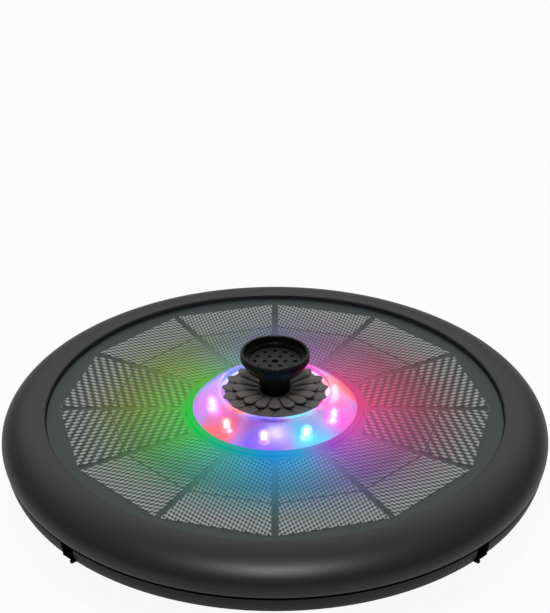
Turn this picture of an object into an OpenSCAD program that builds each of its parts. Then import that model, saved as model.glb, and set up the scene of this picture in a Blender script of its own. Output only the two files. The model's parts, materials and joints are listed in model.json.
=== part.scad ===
/* [Float ring] */
// Largest radius of the float ring
float_r = 139.2; // [134:0.1:150]
// Width of the ring, from its inner lip to its widest place
ring_w = 22.7; // [22:0.1:24]
// Height of the lip above the panel's face
lip_rise_h = 1.8; // [1:0.1:3]
// Rounding of the lip's inner edge
lip_round_r = 1; // [0.5:0.1:1.4]
// Depth of the ring's widest place below the panel's face
equator_drop_h = 10.8; // [9:0.1:12]
// Depth of the seam between the shells below the panel's face
seam_drop_h = 15.3; // [14.8:0.1:15.8]
// Depth of the float's underside below the panel's face
ring_drop_h = 23.5; // [23:0.1:25]
// How far the upper shell draws in between its widest place and the seam
ring_tuck_w = 0.7; // [0.3:0.1:1.2]
// How far the lower shell stands inside the upper one at the seam
lower_inset_w = 0.5; // [0.2:0.1:0.8]
// How far the lower shell draws in towards its bottom edge
base_tuck_w = 2.2; // [1:0.1:3]
// Wall of both shells
shell_wall = 2.2; // [1.8:0.1:2.4]
// Width of the open seam between the shells
seam_gap = 0.7; // [0.4:0.1:1]
// Height of the tongue that centres the lower shell in the upper one
tongue_h = 3.5; // [2:0.1:5]
// Thickness of the tongue
tongue_t = 1.6; // [1.2:0.1:2]

/* [Arm sockets] */
// Number of sockets for retaining arms, at the ring's diagonals
arm_count = 4; // [2:1:4]
// Width of the notch that a socket fills
arm_notch_w = 9; // [8:0.1:10]
// Length of a socket, measured inwards
arm_len = 11.2; // [10:0.1:14]
// How deep the socket's mouth lies inside the shell's side
arm_recess_w = 0.8; // [0.4:0.1:1.2]
// Radius of the bore that takes an arm
arm_bore_r = 2.1; // [1.5:0.05:2.5]
// Depth of that bore
arm_bore_len = 8; // [5:0.1:9]
// Size of the latch nub beside the bore
arm_nub_w = 1.6; // [1:0.1:1.8]

/* [Solar panel] */
// Number of sectors that the cells are laid out in
sector_count = 12; // [8:1:16]
// Width of the bare border between the outer row's corners and the ring's lip
outer_border_w = 6.5; // [5:0.1:10]
// Width of the bare border between the LED ring and the inner row's corners
inner_border_w = 3.8; // [3.3:0.1:6.8]
// Share of the cells' width that the inner row takes
inner_row_share = 0.582; // [0.45:0.001:0.7]
// Width of the bare spokes between the sectors
spoke_w = 3.4; // [2:0.1:5]
// Width of the line between the two rows
divider_w = 1; // [0.6:0.1:2]
// Thickness of the panel's board
board_t = 1.6; // [1:0.1:2]
// Thickness of a cell
cell_t = 0.3; // [0.2:0.05:0.5]
// Thickness of the clear cover over the cells
cover_t = 2.9; // [2.6:0.1:3.2]

/* [LED ring] */
// Radius of the lens where its slope leaves the flange
lens_base_r = 42; // [41.5:0.1:42.5]
// Width of the lens's flange round that slope
flange_w = 3.2; // [2.6:0.1:4]
// Thickness of the lens's flange
flange_t = 1.6; // [1.2:0.1:2]
// Height of the flange's top above the panel's face
flange_rise_h = 0.8; // [0.4:0.1:1.2]
// Width of the lens's slope, seen from above
lens_slope_w = 13.5; // [13:0.1:14.5]
// Height of the lens above its flange
lens_h = 10.7; // [10:0.1:12]
// How far the lens's slope bulges over a straight cone
lens_bulge_h = 0.9; // [0:0.1:1.2]
// Wall of the lens at its foot, measured along the radius
lens_wall = 2; // [1.6:0.1:2.2]
// Thickness of the lens's top plate
lens_plate_t = 1.6; // [1.2:0.1:2]
// Depth of the recess in the lens's top, which holds the rosette
lens_recess_h = 1.9; // [1.6:0.1:2.2]
// Number of LEDs
led_count = 9; // [6:1:10]
// Distance of the LEDs inside the foot of the lens's slope
led_inset_w = 11; // [10.4:0.1:11.6]
// Radius of an LED's dome
led_r = 2.5; // [2:0.1:2.6]
// Height of an LED
led_h = 7; // [6:0.1:7.3]
// Turn of the first LED from the front, towards the left
led_start = 10; // [0:1:39]

/* [Rosette] */
// Width of the lens's edge that the lower row of petals leaves bare
lens_edge_w = 1.1; // [0.8:0.1:2]
// Share of the lower petals' reach that the upper row has
upper_petal_share = 0.796; // [0.72:0.001:0.88]
// Number of petals in each row
petal_count = 17; // [12:1:20]
// Height of the rosette's hub
rosette_hub_h = 1.9; // [1.7:0.1:2.2]
// How far the upper petals' tips rise over the hub
petal_rise_h = 1.1; // [0.6:0.1:1.6]
// Thickness of a petal's tip
petal_t = 1; // [0.7:0.1:1.2]

/* [Nozzle] */
// Outer radius of the nozzle's neck
neck_r = 8; // [7.6:0.1:9]
// Height of the nozzle's neck
neck_h = 10.4; // [10:0.1:12]
// Radius of the bowl at its widest place
bowl_r = 16.5; // [15.5:0.1:17.2]
// Height of the bowl below its rim band
bowl_h = 7; // [6.5:0.1:8]
// Outer radius of the rim band
rim_r = 17.5; // [16.8:0.1:18.5]
// Height of the rim band
rim_h = 4; // [3:0.1:5]
// Wall of the bowl and its rim
bowl_wall = 1.6; // [1.4:0.1:1.8]
// Radius of the jet plate
plate_r = 13.6; // [13:0.1:13.7]
// Thickness of the jet plate
plate_t = 2; // [1.5:0.1:2.2]
// Height of the water space under the jet plate
plenum_h = 2.1; // [1.8:0.1:2.3]
// Radius of the middle jet hole
jet_mid_r = 1.8; // [1:0.1:2]
// Radius of the other jet holes
jet_r = 1.1; // [0.6:0.1:1.3]

/* [Riser] */
// Outer radius of the tube from the pump to the nozzle
riser_r = 6; // [5.8:0.05:6.2]
// Bore radius of that tube
riser_bore_r = 4; // [3.4:0.05:4.1]
// Length of the tube inside the nozzle's neck
riser_neck_len = 8.9; // [8:0.1:9.2]
// Running clearance between the tube and the neck
neck_gap = 0.1; // [0.05:0.01:0.15]

/* [Pump well] */
// Outer radius of the wall under the float, which the pump stands on
pod_r = 48.5; // [48:0.1:52]
// Thickness of that wall
pod_wall = 2.6; // [2.5:0.1:3]
// Radius of the well that the pump hangs in
well_r = 34; // [33.6:0.1:34.4]
// Thickness of the well's ceiling
ceiling_t = 3.5; // [3.4:0.1:4]
// Number of intake slots in the wall
slot_count = 24; // [12:1:28]
// Width of an intake slot
slot_w = 2.4; // [1.5:0.1:3]
// Height of an intake slot
slot_h = 11; // [8:0.1:12]

/* [Pump] */
// Distance from the fountain's axis to the rotor's axis
pump_offset_x = 9; // [8.8:0.1:9.2]
// Clearance between the sponge filter and the pump's body
pump_clear_h = 1.5; // [1.2:0.1:3]
// Height of the well's ceiling above the rotor's axis
pump_hang_h = 13.5; // [13.4:0.1:15]
// Radius of the pump's body
pump_r = 13; // [12.9:0.1:13.1]
// Radius of the impeller chamber
chamber_r = 10.6; // [10.5:0.1:10.8]
// Distance from the fountain's axis to the chamber's front face
chamber_front_y = 7; // [6.9:0.1:7.2]
// Length of the impeller chamber
chamber_len = 11; // [11:0.1:11.6]
// Length of the motor behind the chamber
motor_len = 17; // [17:0.1:17.6]
// Thickness of the pump's front lid
lid_t = 3; // [2.8:0.1:3.4]
// Radius of the intake in the lid
intake_r = 6.2; // [5.6:0.1:6.8]
// Radius of the impeller
impeller_r = 9.2; // [8.6:0.1:9.6]
// Number of impeller vanes
vane_count = 6; // [4:1:7]
// Radius of the rotor's magnet
magnet_r = 5.8; // [5.5:0.05:5.9]
// Radius of the fixed shaft
shaft_r = 1; // [0.8:0.05:1.1]
// Running clearance between the shaft and the impeller's sleeve
shaft_gap = 0.05; // [0.03:0.01:0.08]
// Number of stator poles
pole_count = 6; // [4:1:6]

/* [Intake cover] */
// Thickness of the cover's plate
intake_cover_t = 2.2; // [1.8:0.1:2.4]
// Depth of the cover's plate inside the wall's bottom edge
intake_cover_recess_h = 3; // [2.8:0.1:3.4]
// Width of the slots through the cover
cover_slot_w = 2.4; // [1.5:0.1:3]
// Number of slots through the cover
cover_slot_count = 13; // [9:2:15]
// Number of lock lugs
lug_count = 3; // [2:1:4]
// Angle that a lock lug spans
lug_angle = 14; // [10:1:16]
// Angle that the cover turns to unlock
unlock_angle = 25; // [15:1:30]
// Thickness of the sponge filter
sponge_t = 6; // [5:0.1:6.4]

/* [Battery and control] */
// Share of the bay between the well and the lip that a battery cell's width takes
battery_w_share = 0.5; // [0.44:0.001:0.52]
// Length of a battery cell
battery_len = 50; // [40:0.1:52]
// Thickness of a battery cell
battery_t = 10; // [8:0.1:10.5]
// Share of that bay between the well and the middle of a battery cell
battery_place_share = 0.522; // [0.46:0.001:0.6]
// Width of the control board
control_w = 56; // [50:0.1:60]
// Share of that bay that the control board's depth takes
control_len_share = 0.5; // [0.47:0.001:0.56]
// Share of that bay between the well and the middle of the control board and its button
control_place_share = 0.434; // [0.4:0.001:0.46]
// Radius of the button's cap
button_r = 5.8; // [5:0.1:6.2]
// How far the button stands out of the underside
button_out_h = 1.6; // [1:0.1:2.2]
// Travel of the button
button_travel_h = 1; // [0.8:0.1:1.2]

/* [Fasteners] */
// Number of screws that hold the shells together
screw_count = 6; // [4:2:8]
// Distance of those screws inside the ring's lip
screw_inset_w = 8.5; // [5:0.1:12]
// Shank radius of a shell screw
screw_r = 1.45; // [1.2:0.05:1.6]
// Head radius of a shell screw
screw_head_r = 2.9; // [2.6:0.1:3.2]
// Shank radius of a small screw
small_screw_r = 0.9; // [0.8:0.05:1]
// Head radius of a small screw
small_head_r = 1.9; // [1.6:0.1:2.1]

/* [Hidden] */
$fn = 96;

// Clearances shared by several pieces
overrun = 1;
seat_gap = 0.2;
fit_gap = 0.3;
drop_in_gap = 0.1;
pilot_gap = 0.05;
panel_gap = 0.4;

// Directions on the ground plan: -90 faces the viewer
front_angle = -90;

// Radii of the ring's lip and of the LED ring
lip_r = float_r - ring_w;
flange_r = lens_base_r + flange_w;
lens_top_r = lens_base_r - lens_slope_w;
led_ring_r = lens_base_r - led_inset_w;
rosette_r = lens_top_r - lens_edge_w;
upper_petal_r = rosette_r * upper_petal_share;

// Heights from the ground up to the panel's face
cover_top_z = intake_cover_recess_h + intake_cover_t;
sponge_z = cover_top_z + fit_gap;
pump_axis_h = sponge_z + sponge_t + pump_clear_h + pump_r;
ceiling_z = pump_axis_h + pump_hang_h;
deck_z = ceiling_z + ceiling_t;
deck_top_z = deck_z + shell_wall;
cell_z = deck_top_z + board_t;
panel_h = cell_z + cell_t + cover_t;

// Heights from the panel's face down to the float's underside
crest_z = panel_h + lip_rise_h;
equator_z = panel_h - equator_drop_h;
seam_top_z = panel_h - seam_drop_h + seam_gap / 2;
seam_low_z = panel_h - seam_drop_h - seam_gap / 2;
floor_z = panel_h - ring_drop_h;
floor_top_z = floor_z + shell_wall;

// Upper shell
crown_r = lip_r + lip_round_r;
crown_a = float_r - crown_r;
crown_b = crest_z - equator_z;
crown_step = 7.5;
upper_seam_r = float_r - ring_tuck_w;
tuck_steps = 3;
tube_hole_r = riser_r + fit_gap;

// Lower shell
lower_seam_r = upper_seam_r - lower_inset_w;
tongue_r = upper_seam_r - shell_wall - fit_gap;
tongue_in_r = tongue_r - tongue_t;
tongue_top_z = seam_top_z + tongue_h;
base_steps = 5;
pod_in_r = pod_r - pod_wall;
seal_seat_wall = 2.4;
seal_seat_r = riser_r + seal_seat_wall;
seal_seat_h = 2;
slot_low_z = 11.5;

// The bay between the well's wall and the lip, which holds the batteries and the control board
bay_w = lip_r - pod_r;
battery_w = bay_w * battery_w_share;
battery_x = pod_r + bay_w * battery_place_share;
control_len = bay_w * control_len_share;
control_y = pod_r + bay_w * control_place_share;

// Screws and bosses between the shells
screw_ring_r = lip_r - screw_inset_w;
shell_boss_r = 4.2;
head_recess_h = 2;
head_t = 1.6;
screw_len = 9.6;
screw_floor_t = 4;
boss_split_z = floor_z + screw_floor_t;
screw_turn = 30;

// Arm sockets
arm_mouth_r = lower_seam_r - arm_recess_w;
arm_notch_len = arm_len + arm_recess_w + base_tuck_w;
arm_foot_gap = 0.3;
arm_low_z = floor_z + arm_foot_gap;
arm_top_z = seam_low_z - drop_in_gap;
arm_bore_z = (arm_low_z + arm_top_z) / 2 + arm_foot_gap;
arm_turn = 45;

// Panel
panel_in_r = flange_r + panel_gap;
panel_out_r = lip_r - panel_gap;
cell_outer_r = lip_r - outer_border_w;
cell_inner_r = flange_r + inner_border_w;
divider_r = cell_inner_r + (cell_outer_r - cell_inner_r) * inner_row_share;
sector_angle = 360 / sector_count;
row_share = cos(sector_angle / 2);
spoke_slope = tan(sector_angle / 2);
spoke_side_w = spoke_w / 2 / row_share;

// LED ring
flange_top_z = panel_h + flange_rise_h;
flange_low_z = flange_top_z - flange_t;
tray_t = 1.6;
tray_rim_t = 1.8;
tray_top_z = deck_top_z + tray_t;
led_board_inset_w = 1.5;
led_board_r = lens_base_r - led_board_inset_w;
led_board_in_r = 12;
led_board_top_z = tray_top_z + board_t;
led_collar_w = 0.4;
led_collar_r = led_r + led_collar_w;
led_collar_h = 1;
lens_top_z = flange_top_z + lens_h;
lens_seat_z = lens_top_z - lens_recess_h;
lens_plate_z = lens_seat_z - lens_plate_t;
lens_seat_r = rosette_r + panel_gap;
lens_in_base_r = lens_base_r - lens_wall;
lens_steps = 8;

// Rosette
hub_top_z = lens_seat_z + rosette_hub_h;
pocket_r = neck_r + fit_gap;
pocket_depth_h = 0.6;
pocket_z = hub_top_z - pocket_depth_h;
petal_root_share = 0.32;
lower_width_share = 1.1;
lower_tip_share = 0.26;
upper_width_share = 0.86;
upper_tip_share = 0.16;
petal_steps = 7;

// Nozzle
neck_low_z = pocket_z + seat_gap;
neck_top_z = neck_low_z + neck_h;
bowl_rim_z = neck_top_z + bowl_h;
rim_top_z = bowl_rim_z + rim_h;
neck_flare_w = 0.5;
bowl_foot_r = neck_r + neck_flare_w;
neck_bore_r = riser_r + neck_gap;
riser_top_z = neck_low_z + riser_neck_len;
neck_step_z = riser_top_z + fit_gap;
plenum_low_z = neck_top_z + bowl_wall;
plate_z = plenum_low_z + plenum_h;
plate_seat_w = 2.1;
plenum_r = plate_r - plate_seat_w;
bowl_step = 15;
ring_seal_r = 0.65;
ring_groove_h = 1.5;
ring_seal_z = neck_low_z + riser_neck_len / 2;
ring_seal_mid_r = neck_bore_r - ring_seal_r - pilot_gap;
jet_inner_ring_r = 5.2;
jet_outer_ring_r = 10.2;
jet_inner_count = 6;
jet_outer_count = 12;

// Pump
outlet_wall = 1.6;
outlet_r = riser_r + outlet_wall;
outlet_floor_t = 4;
socket_depth_h = 5;
socket_z = ceiling_z - socket_depth_h;
rotor_y = chamber_len - chamber_front_y;
motor_end_y = rotor_y + motor_len;
can_r = magnet_r + fit_gap;
can_wall = 0.8;
can_len = 14;
can_end_y = rotor_y + can_len;
bush_r = 2;
bush_len = 2;
stator_gap_len = 2;
stator_front_y = rotor_y + stator_gap_len;
motor_wall = 1.2;
stator_r = pump_r - motor_wall;
core_gap = 0.1;
core_start_y = stator_front_y + stator_gap_len;
core_len = 10;
core_yoke_t = 1.7;
pole_w = 2;
pole_in_r = can_r + can_wall + 2 * core_gap;
coil_w = 4.6;
coil_gap = 0.5;
coil_in_r = pole_in_r + coil_gap;
coil_out_r = sqrt(pow(stator_r - core_gap - core_yoke_t, 2) - pow(coil_w / 2, 2));
coil_over_len = 1.4;
rear_cap_t = 1.6;
ear_r = 2.8;
ear_x = pump_r + ear_r;
ear_len = 8;
hanger_r = 3.5;
hanger_t = 2.2;
hanger_boss_t = 3;
hanger_x = 16;
hanger_y = 9;
hanger_screw_len = 5.6;
lid_screw_len = 9;
small_head_t = 1.2;
lid_hub_r = 3;
spider_count = 3;
spider_w = 1.4;
pump_seal_r = 0.7;
pump_seal_mid_r = (pump_r + chamber_r) / 2;
vane_gap = 1.5;
vane_t = 1;
vane_turn = 25;
disc_t = 1.2;
disc_gap = 0.4;
sleeve_r = 2.6;
sleeve_lead_len = 0.4;
disc_back_y = rotor_y - disc_gap;
magnet_y = disc_back_y + disc_gap + fit_gap;
magnet_len = can_len - 2 * fit_gap - disc_gap;
sleeve_end_y = magnet_y + magnet_len;

// Intake cover and sponge
cover_r = pod_in_r - fit_gap - fit_gap;
skirt_t = 2;
skirt_h = 4;
lug_out_w = 1.1;
lug_r = pod_in_r + lug_out_w;
lug_rise_h = 1.8;
lug_z = cover_top_z + lug_rise_h;
lug_t = 1.6;
groove_depth_w = 1.4;
groove_r = pod_in_r + groove_depth_w;
lug_slack_angle = 1;
grip_len = 34;
grip_w = 4;
grip_h = 2.2;
cover_slot_inset_w = 2;
cover_slot_r = cover_r - skirt_t - cover_slot_inset_w;
cover_slot_pitch_w = 2 * cover_slot_r / cover_slot_count;
sponge_r = cover_r - skirt_t - fit_gap;

// Battery, control board and button
holder_wall = 1.2;
holder_floor_t = 1;
holder_h = 6;
holder_gap = 0.2;
battery_z = floor_top_z + holder_floor_t;
battery_round_r = 2.5;
control_gap_h = 1.4;
control_top_z = deck_z - control_gap_h;
control_low_z = control_top_z - board_t;
standoff_r = 2.5;
standoff_inset_w = 4;
standoff_x = control_w / 2 - standoff_inset_w;
standoff_y = control_len / 2 - standoff_inset_w;
board_screw_len = 4;
switch_share = 0.35;
switch_w = control_len * switch_share;
switch_t = 4.3;
switch_plunger_r = 3.5;
switch_plunger_h = 0.5;
switch_z = control_low_z - switch_t;
button_hole_r = button_r + seat_gap;
guide_wall = 2;
guide_r = button_hole_r + guide_wall;
guide_h = 4.3;
guide_top_z = floor_top_z + guide_h;
button_low_z = floor_z - button_out_h;
button_lip_inset_w = 0.6;
button_lip_r = guide_r - button_lip_inset_w;
button_lip_t = switch_z - switch_plunger_h - button_travel_h - fit_gap - guide_top_z - fit_gap;
button_dish_r = button_r * 4;
button_dish_h = 0.5;
plug_w = 7;
plug_len = 6;
plug_h = 4.4;
plug_z = control_low_z - plug_h / 2;
side_plug_share = 0.06;
side_plug_y = control_len * side_plug_share;
chip_w = 9;
chip_t = 1.2;
coil_chip_r = 4;
coil_chip_h = 4.5;
cap_r = 2.6;
cap_h = 5.5;
cap_share = 0.324;

// Leads
pin_r = 0.8;
pin_x = 5;
pin_share = 0.265;
pin_y = control_y - control_len * pin_share;
pin_gap = 0.6;
pin_hole_r = pin_r + pin_gap;
led_lead_r = 0.7;
led_lead_x = 9;
led_lead_out_w = 2.6;
led_lead_y = well_r + shell_wall + led_lead_out_w;
led_hole_r = 2.4 * led_lead_r;
pump_lead_r = 1.6;
pump_lead_up_h = 7;
pump_lead_z = pump_axis_h + pump_lead_up_h;
grommet_r = 3;
grommet_len = 7;
grommet_in_w = 3;
grommet_y = well_r - grommet_in_w;
battery_lead_r = 0.9;
battery_lead_x = battery_x - battery_w / 4;
control_front_y = control_y - control_len / 2;

// Points along part of an oval, whose angle starts at its top
function oval(cx, cz, a, b, angles) = [for (t = angles) [cx + a * sin(t), cz + b * cos(t)]];

// Radius of the lower shell's side at a share of its height below the seam
function base_side(s) = lower_seam_r - base_tuck_w * s * s;

// One bulged slope of the lens, from its foot to its top
function lens_slope(r0, z0, r1, z1) = [
    for (i = [0:lens_steps]) let (s = i / lens_steps)
        [r0 + (r1 - r0) * s, z0 + (z1 - z0) * s + 4 * lens_bulge_h * s * (1 - s)]
];

module around(count, turn = 0) {
    for (i = [0:count - 1]) rotate([0, 0, turn + i * 360 / count]) children();
}

module ring(outer, inner, h, z = 0) {
    translate([0, 0, z]) difference() {
        cylinder(h = h, r = outer);
        translate([0, 0, -overrun]) cylinder(h = h + 2 * overrun, r = inner);
    }
}

module block(w, d, h, z = 0) {
    translate([-w / 2, -d / 2, z]) cube([w, d, h]);
}

module torus(mid, thick) {
    rotate_extrude() translate([mid, 0]) circle(r = thick);
}

// The rotor's axis lies along +Y, and its z runs backwards from the fountain's axis
module on_rotor() {
    translate([-pump_offset_x, 0, pump_axis_h]) rotate([-90, 0, 0]) children();
}

module rod(a, b, r) {
    d = b - a;
    len = norm(d);
    translate(a) rotate([0, acos(d[2] / len), atan2(d[1], d[0])]) cylinder(h = len, r = r);
}

// A lead along straight stretches with round corners
module lead(points, r) {
    for (i = [0:len(points) - 2]) rod(points[i], points[i + 1], r);
    for (i = [1:len(points) - 2]) translate(points[i]) sphere(r = r);
}

module screw(shank_r, head_r, head_h, length) {
    translate([0, 0, -head_h]) cylinder(h = head_h, r = head_r);
    cylinder(h = length, r = shank_r);
}

module at_corners() {
    for (x = [-1, 1], y = [-1, 1])
        translate([x * standoff_x, control_y + y * standoff_y, 0]) children();
}

// Float ring

module upper_profile() {
    lip_arc = [for (u = [0:22.5:67.5])
        [crown_r - lip_round_r * cos(u), crest_z - lip_round_r * (1 - sin(u))]];
    crown = oval(crown_r, equator_z, crown_a, crown_b, [0:crown_step:90]);
    tuck = [for (i = [1:tuck_steps]) let (s = i / tuck_steps)
        [float_r - ring_tuck_w * s * s, equator_z - (equator_z - seam_top_z) * s]];
    inner_a = crown_a - shell_wall;
    inner_b = crown_b - shell_wall;
    inner = oval(crown_r, equator_z, inner_a, inner_b, [90:-crown_step:crown_step]);
    skirt_r = lip_r + shell_wall;
    skirt_z = equator_z + inner_b * sqrt(1 - pow((shell_wall - lip_round_r) / inner_a, 2));
    polygon(concat(lip_arc, crown, tuck, [[upper_seam_r - shell_wall, seam_top_z]], inner, [
        [skirt_r, skirt_z], [skirt_r, deck_z], [tube_hole_r, deck_z],
        [tube_hole_r, deck_top_z], [lip_r, deck_top_z]
    ]));
}

module upper_shell() {
    color("#2e2e2e") difference() {
        union() {
            rotate_extrude() upper_profile();
            around(screw_count, screw_turn) translate([screw_ring_r, 0, boss_split_z])
                cylinder(h = deck_top_z - boss_split_z, r = shell_boss_r);
            at_corners() translate([0, 0, control_top_z])
                cylinder(h = deck_top_z - control_top_z, r = standoff_r);
        }
        around(screw_count, screw_turn) translate([screw_ring_r, 0, boss_split_z - overrun])
            cylinder(h = screw_len - screw_floor_t + head_recess_h + 2 * overrun, r = screw_r + pilot_gap);
        at_corners() translate([0, 0, control_low_z])
            cylinder(h = board_screw_len + pilot_gap, r = small_screw_r + pilot_gap);
        for (x = [-1, 1]) translate([x * pin_x, pin_y, deck_z - overrun])
            cylinder(h = shell_wall + 2 * overrun, r = pin_hole_r);
        translate([led_lead_x, led_lead_y, deck_z - overrun])
            cylinder(h = shell_wall + 2 * overrun, r = led_hole_r);
    }
}

module lower_profile() {
    side = [for (i = [0:base_steps]) let (s = i / base_steps)
        [base_side(s), seam_low_z + (floor_z - seam_low_z) * s]];
    polygon(concat([[tongue_in_r, tongue_top_z], [tongue_r, tongue_top_z], [tongue_r, seam_low_z]], side, [
        [pod_r, floor_z], [pod_r, 0], [pod_in_r, 0], [pod_in_r, floor_z],
        [well_r, floor_z], [well_r, ceiling_z], [tube_hole_r, ceiling_z],
        [tube_hole_r, deck_z - seal_seat_h], [seal_seat_r, deck_z - seal_seat_h],
        [seal_seat_r, deck_z], [well_r + shell_wall, deck_z],
        [well_r + shell_wall, floor_top_z], [tongue_in_r, floor_top_z]
    ]));
}

// The groove that a lock lug enters from below and then turns along
module lock_groove() {
    run = lug_angle + unlock_angle + 3 * lug_slack_angle;
    translate([0, 0, lug_z - seat_gap]) rotate([0, 0, -lug_angle / 2 - lug_slack_angle])
        rotate_extrude(angle = run) translate([pod_in_r - overrun, 0])
            square([groove_r - pod_in_r + overrun, lug_t + 2 * seat_gap]);
    translate([0, 0, -overrun]) rotate([0, 0, unlock_angle - lug_angle / 2 - lug_slack_angle])
        rotate_extrude(angle = lug_angle + 2 * lug_slack_angle) translate([pod_in_r - overrun, 0])
            square([lug_r + seat_gap - pod_in_r + overrun, lug_z + overrun]);
}

module lower_shell() {
    color("#333333") difference() {
        union() {
            rotate_extrude() lower_profile();
            around(screw_count, screw_turn) translate([screw_ring_r, 0, floor_z + overrun])
                cylinder(h = screw_floor_t - overrun, r = shell_boss_r);
            translate([0, control_y, floor_z + overrun])
                cylinder(h = guide_top_z - floor_z - overrun, r = guide_r);
        }
        around(screw_count, screw_turn) translate([screw_ring_r, 0, floor_z - overrun]) {
            cylinder(h = head_recess_h + overrun, r = screw_head_r + seat_gap);
            cylinder(h = screw_floor_t + 2 * overrun, r = screw_r + seat_gap);
        }
        around(arm_count, arm_turn)
            translate([arm_mouth_r - arm_len - drop_in_gap, -arm_notch_w / 2, floor_z - overrun])
                cube([arm_notch_len, arm_notch_w, tongue_top_z - floor_z + 2 * overrun]);
        around(slot_count) translate([pod_in_r - overrun, -slot_w / 2, slot_low_z])
            cube([pod_wall + 2 * overrun, slot_w, slot_h]);
        around(lug_count) lock_groove();
        translate([0, control_y, floor_z - overrun])
            cylinder(h = guide_top_z - floor_z + 2 * overrun, r = button_hole_r);
        for (x = [-1, 1]) on_rotor() translate([x * hanger_x, 0, hanger_y]) rotate([90, 0, 0])
            translate([0, 0, ceiling_z - pump_axis_h - overrun])
                cylinder(h = hanger_screw_len - hanger_boss_t + overrun + pilot_gap,
                    r = small_screw_r + pilot_gap);
        translate([-pump_offset_x, grommet_y, pump_lead_z]) rotate([-90, 0, 0])
            cylinder(h = grommet_len, r = grommet_r);
    }
}

module seam_seal() {
    color("#141414") ring(lower_seam_r - lower_inset_w, tongue_r, seam_gap, seam_low_z);
}

module arm_socket() {
    w = arm_notch_w - 2 * drop_in_gap;
    difference() {
        union() {
            translate([arm_mouth_r - arm_len, -w / 2, arm_low_z])
                cube([arm_len, w, arm_top_z - arm_low_z]);
            translate([arm_mouth_r - arm_nub_w, -w / 2, arm_low_z])
                cube([2 * arm_nub_w, arm_nub_w, arm_nub_w]);
        }
        translate([arm_mouth_r - arm_bore_len, 0, arm_bore_z]) rotate([0, 90, 0])
            cylinder(h = arm_bore_len + overrun, r = arm_bore_r);
    }
}

module arm_sockets() {
    color("#1c1c1c") around(arm_count, arm_turn) arm_socket();
}

module shell_screws() {
    color("#9a9c9f") around(screw_count, screw_turn)
        translate([screw_ring_r, 0, floor_z + head_recess_h])
            screw(screw_r, screw_head_r, head_t, screw_len);
}

// Solar panel

module panel_board() {
    color("#3a4546") difference() {
        ring(panel_out_r, panel_in_r, board_t, deck_top_z);
        for (x = [-1, 1]) translate([x * pin_x, pin_y, deck_top_z - overrun])
            cylinder(h = pin_r + overrun, r = pin_r);
    }
}

// One cell between two rows, with its sides parallel to the spokes
module cell(r0, r1) {
    u0 = r0 * row_share;
    u1 = r1 * row_share;
    v0 = u0 * spoke_slope - spoke_side_w;
    v1 = u1 * spoke_slope - spoke_side_w;
    linear_extrude(cell_t) polygon([[u0, -v0], [u1, -v1], [u1, v1], [u0, v0]]);
}

module cell_row(r0, r1) {
    around(sector_count, sector_angle / 2) translate([0, 0, cell_z]) cell(r0, r1);
}

module inner_cells() {
    color("#6f7472") cell_row(cell_inner_r, divider_r - divider_w / 2);
}

module outer_cells() {
    color("#6f7472") cell_row(divider_r + divider_w / 2, cell_outer_r);
}

module panel_cover() {
    color([0.6, 0.7, 0.72, 0.35]) ring(panel_out_r, panel_in_r, cover_t, cell_z + cell_t);
}

// LED ring

module led_tray() {
    color("#e6e4ea") difference() {
        rotate_extrude() polygon([
            [tube_hole_r, deck_top_z], [flange_r, deck_top_z], [flange_r, flange_low_z],
            [flange_r - tray_rim_t, flange_low_z], [flange_r - tray_rim_t, tray_top_z],
            [tube_hole_r, tray_top_z]
        ]);
        translate([led_lead_x, led_lead_y, deck_top_z - overrun])
            cylinder(h = tray_t + 2 * overrun, r = led_hole_r);
    }
}

module led_board() {
    color("#e9e9ef") ring(led_board_r, led_board_in_r, board_t, tray_top_z);
}

module led() {
    dome_z = led_h - led_r;
    rotate_extrude() polygon(concat(
        [[0, 0], [led_collar_r, 0], [led_collar_r, led_collar_h], [led_r, led_collar_h]],
        oval(0, dome_z, led_r, led_r, [90:-15:0])
    ));
}

module leds() {
    color("#f3eefc") around(led_count, front_angle - led_start)
        translate([led_ring_r, 0, led_board_top_z]) led();
}

module led_lens() {
    color([0.82, 0.75, 1, 0.5]) rotate_extrude() polygon(concat(
        [[flange_r, flange_low_z], [flange_r, flange_top_z]],
        lens_slope(lens_base_r, flange_top_z, lens_top_r, lens_top_z),
        [[lens_seat_r, lens_top_z], [lens_seat_r, lens_seat_z], [tube_hole_r, lens_seat_z],
            [tube_hole_r, lens_plate_z]],
        lens_slope(lens_seat_r, lens_plate_z, lens_in_base_r, flange_low_z)
    ));
}

// Rosette

// One petal's outline, with a round tip, drawn along +X
module petal(length, half_w, round_share) {
    round_x = length * (1 - round_share);
    tip = [for (i = [0:petal_steps]) let (t = 90 - 180 * i / petal_steps)
        [round_x + length * round_share * cos(t), half_w * sin(t)]];
    polygon(concat([[0, -half_w * petal_root_share]], [for (i = [petal_steps:-1:0]) tip[i]],
        [[0, half_w * petal_root_share]]));
}

module petals(length, width_share, round_share, turn) {
    half_w = length * sin(360 / petal_count / 2) * width_share;
    around(petal_count, turn) petal(length, half_w, round_share);
    circle(r = length / 2);
}

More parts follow.
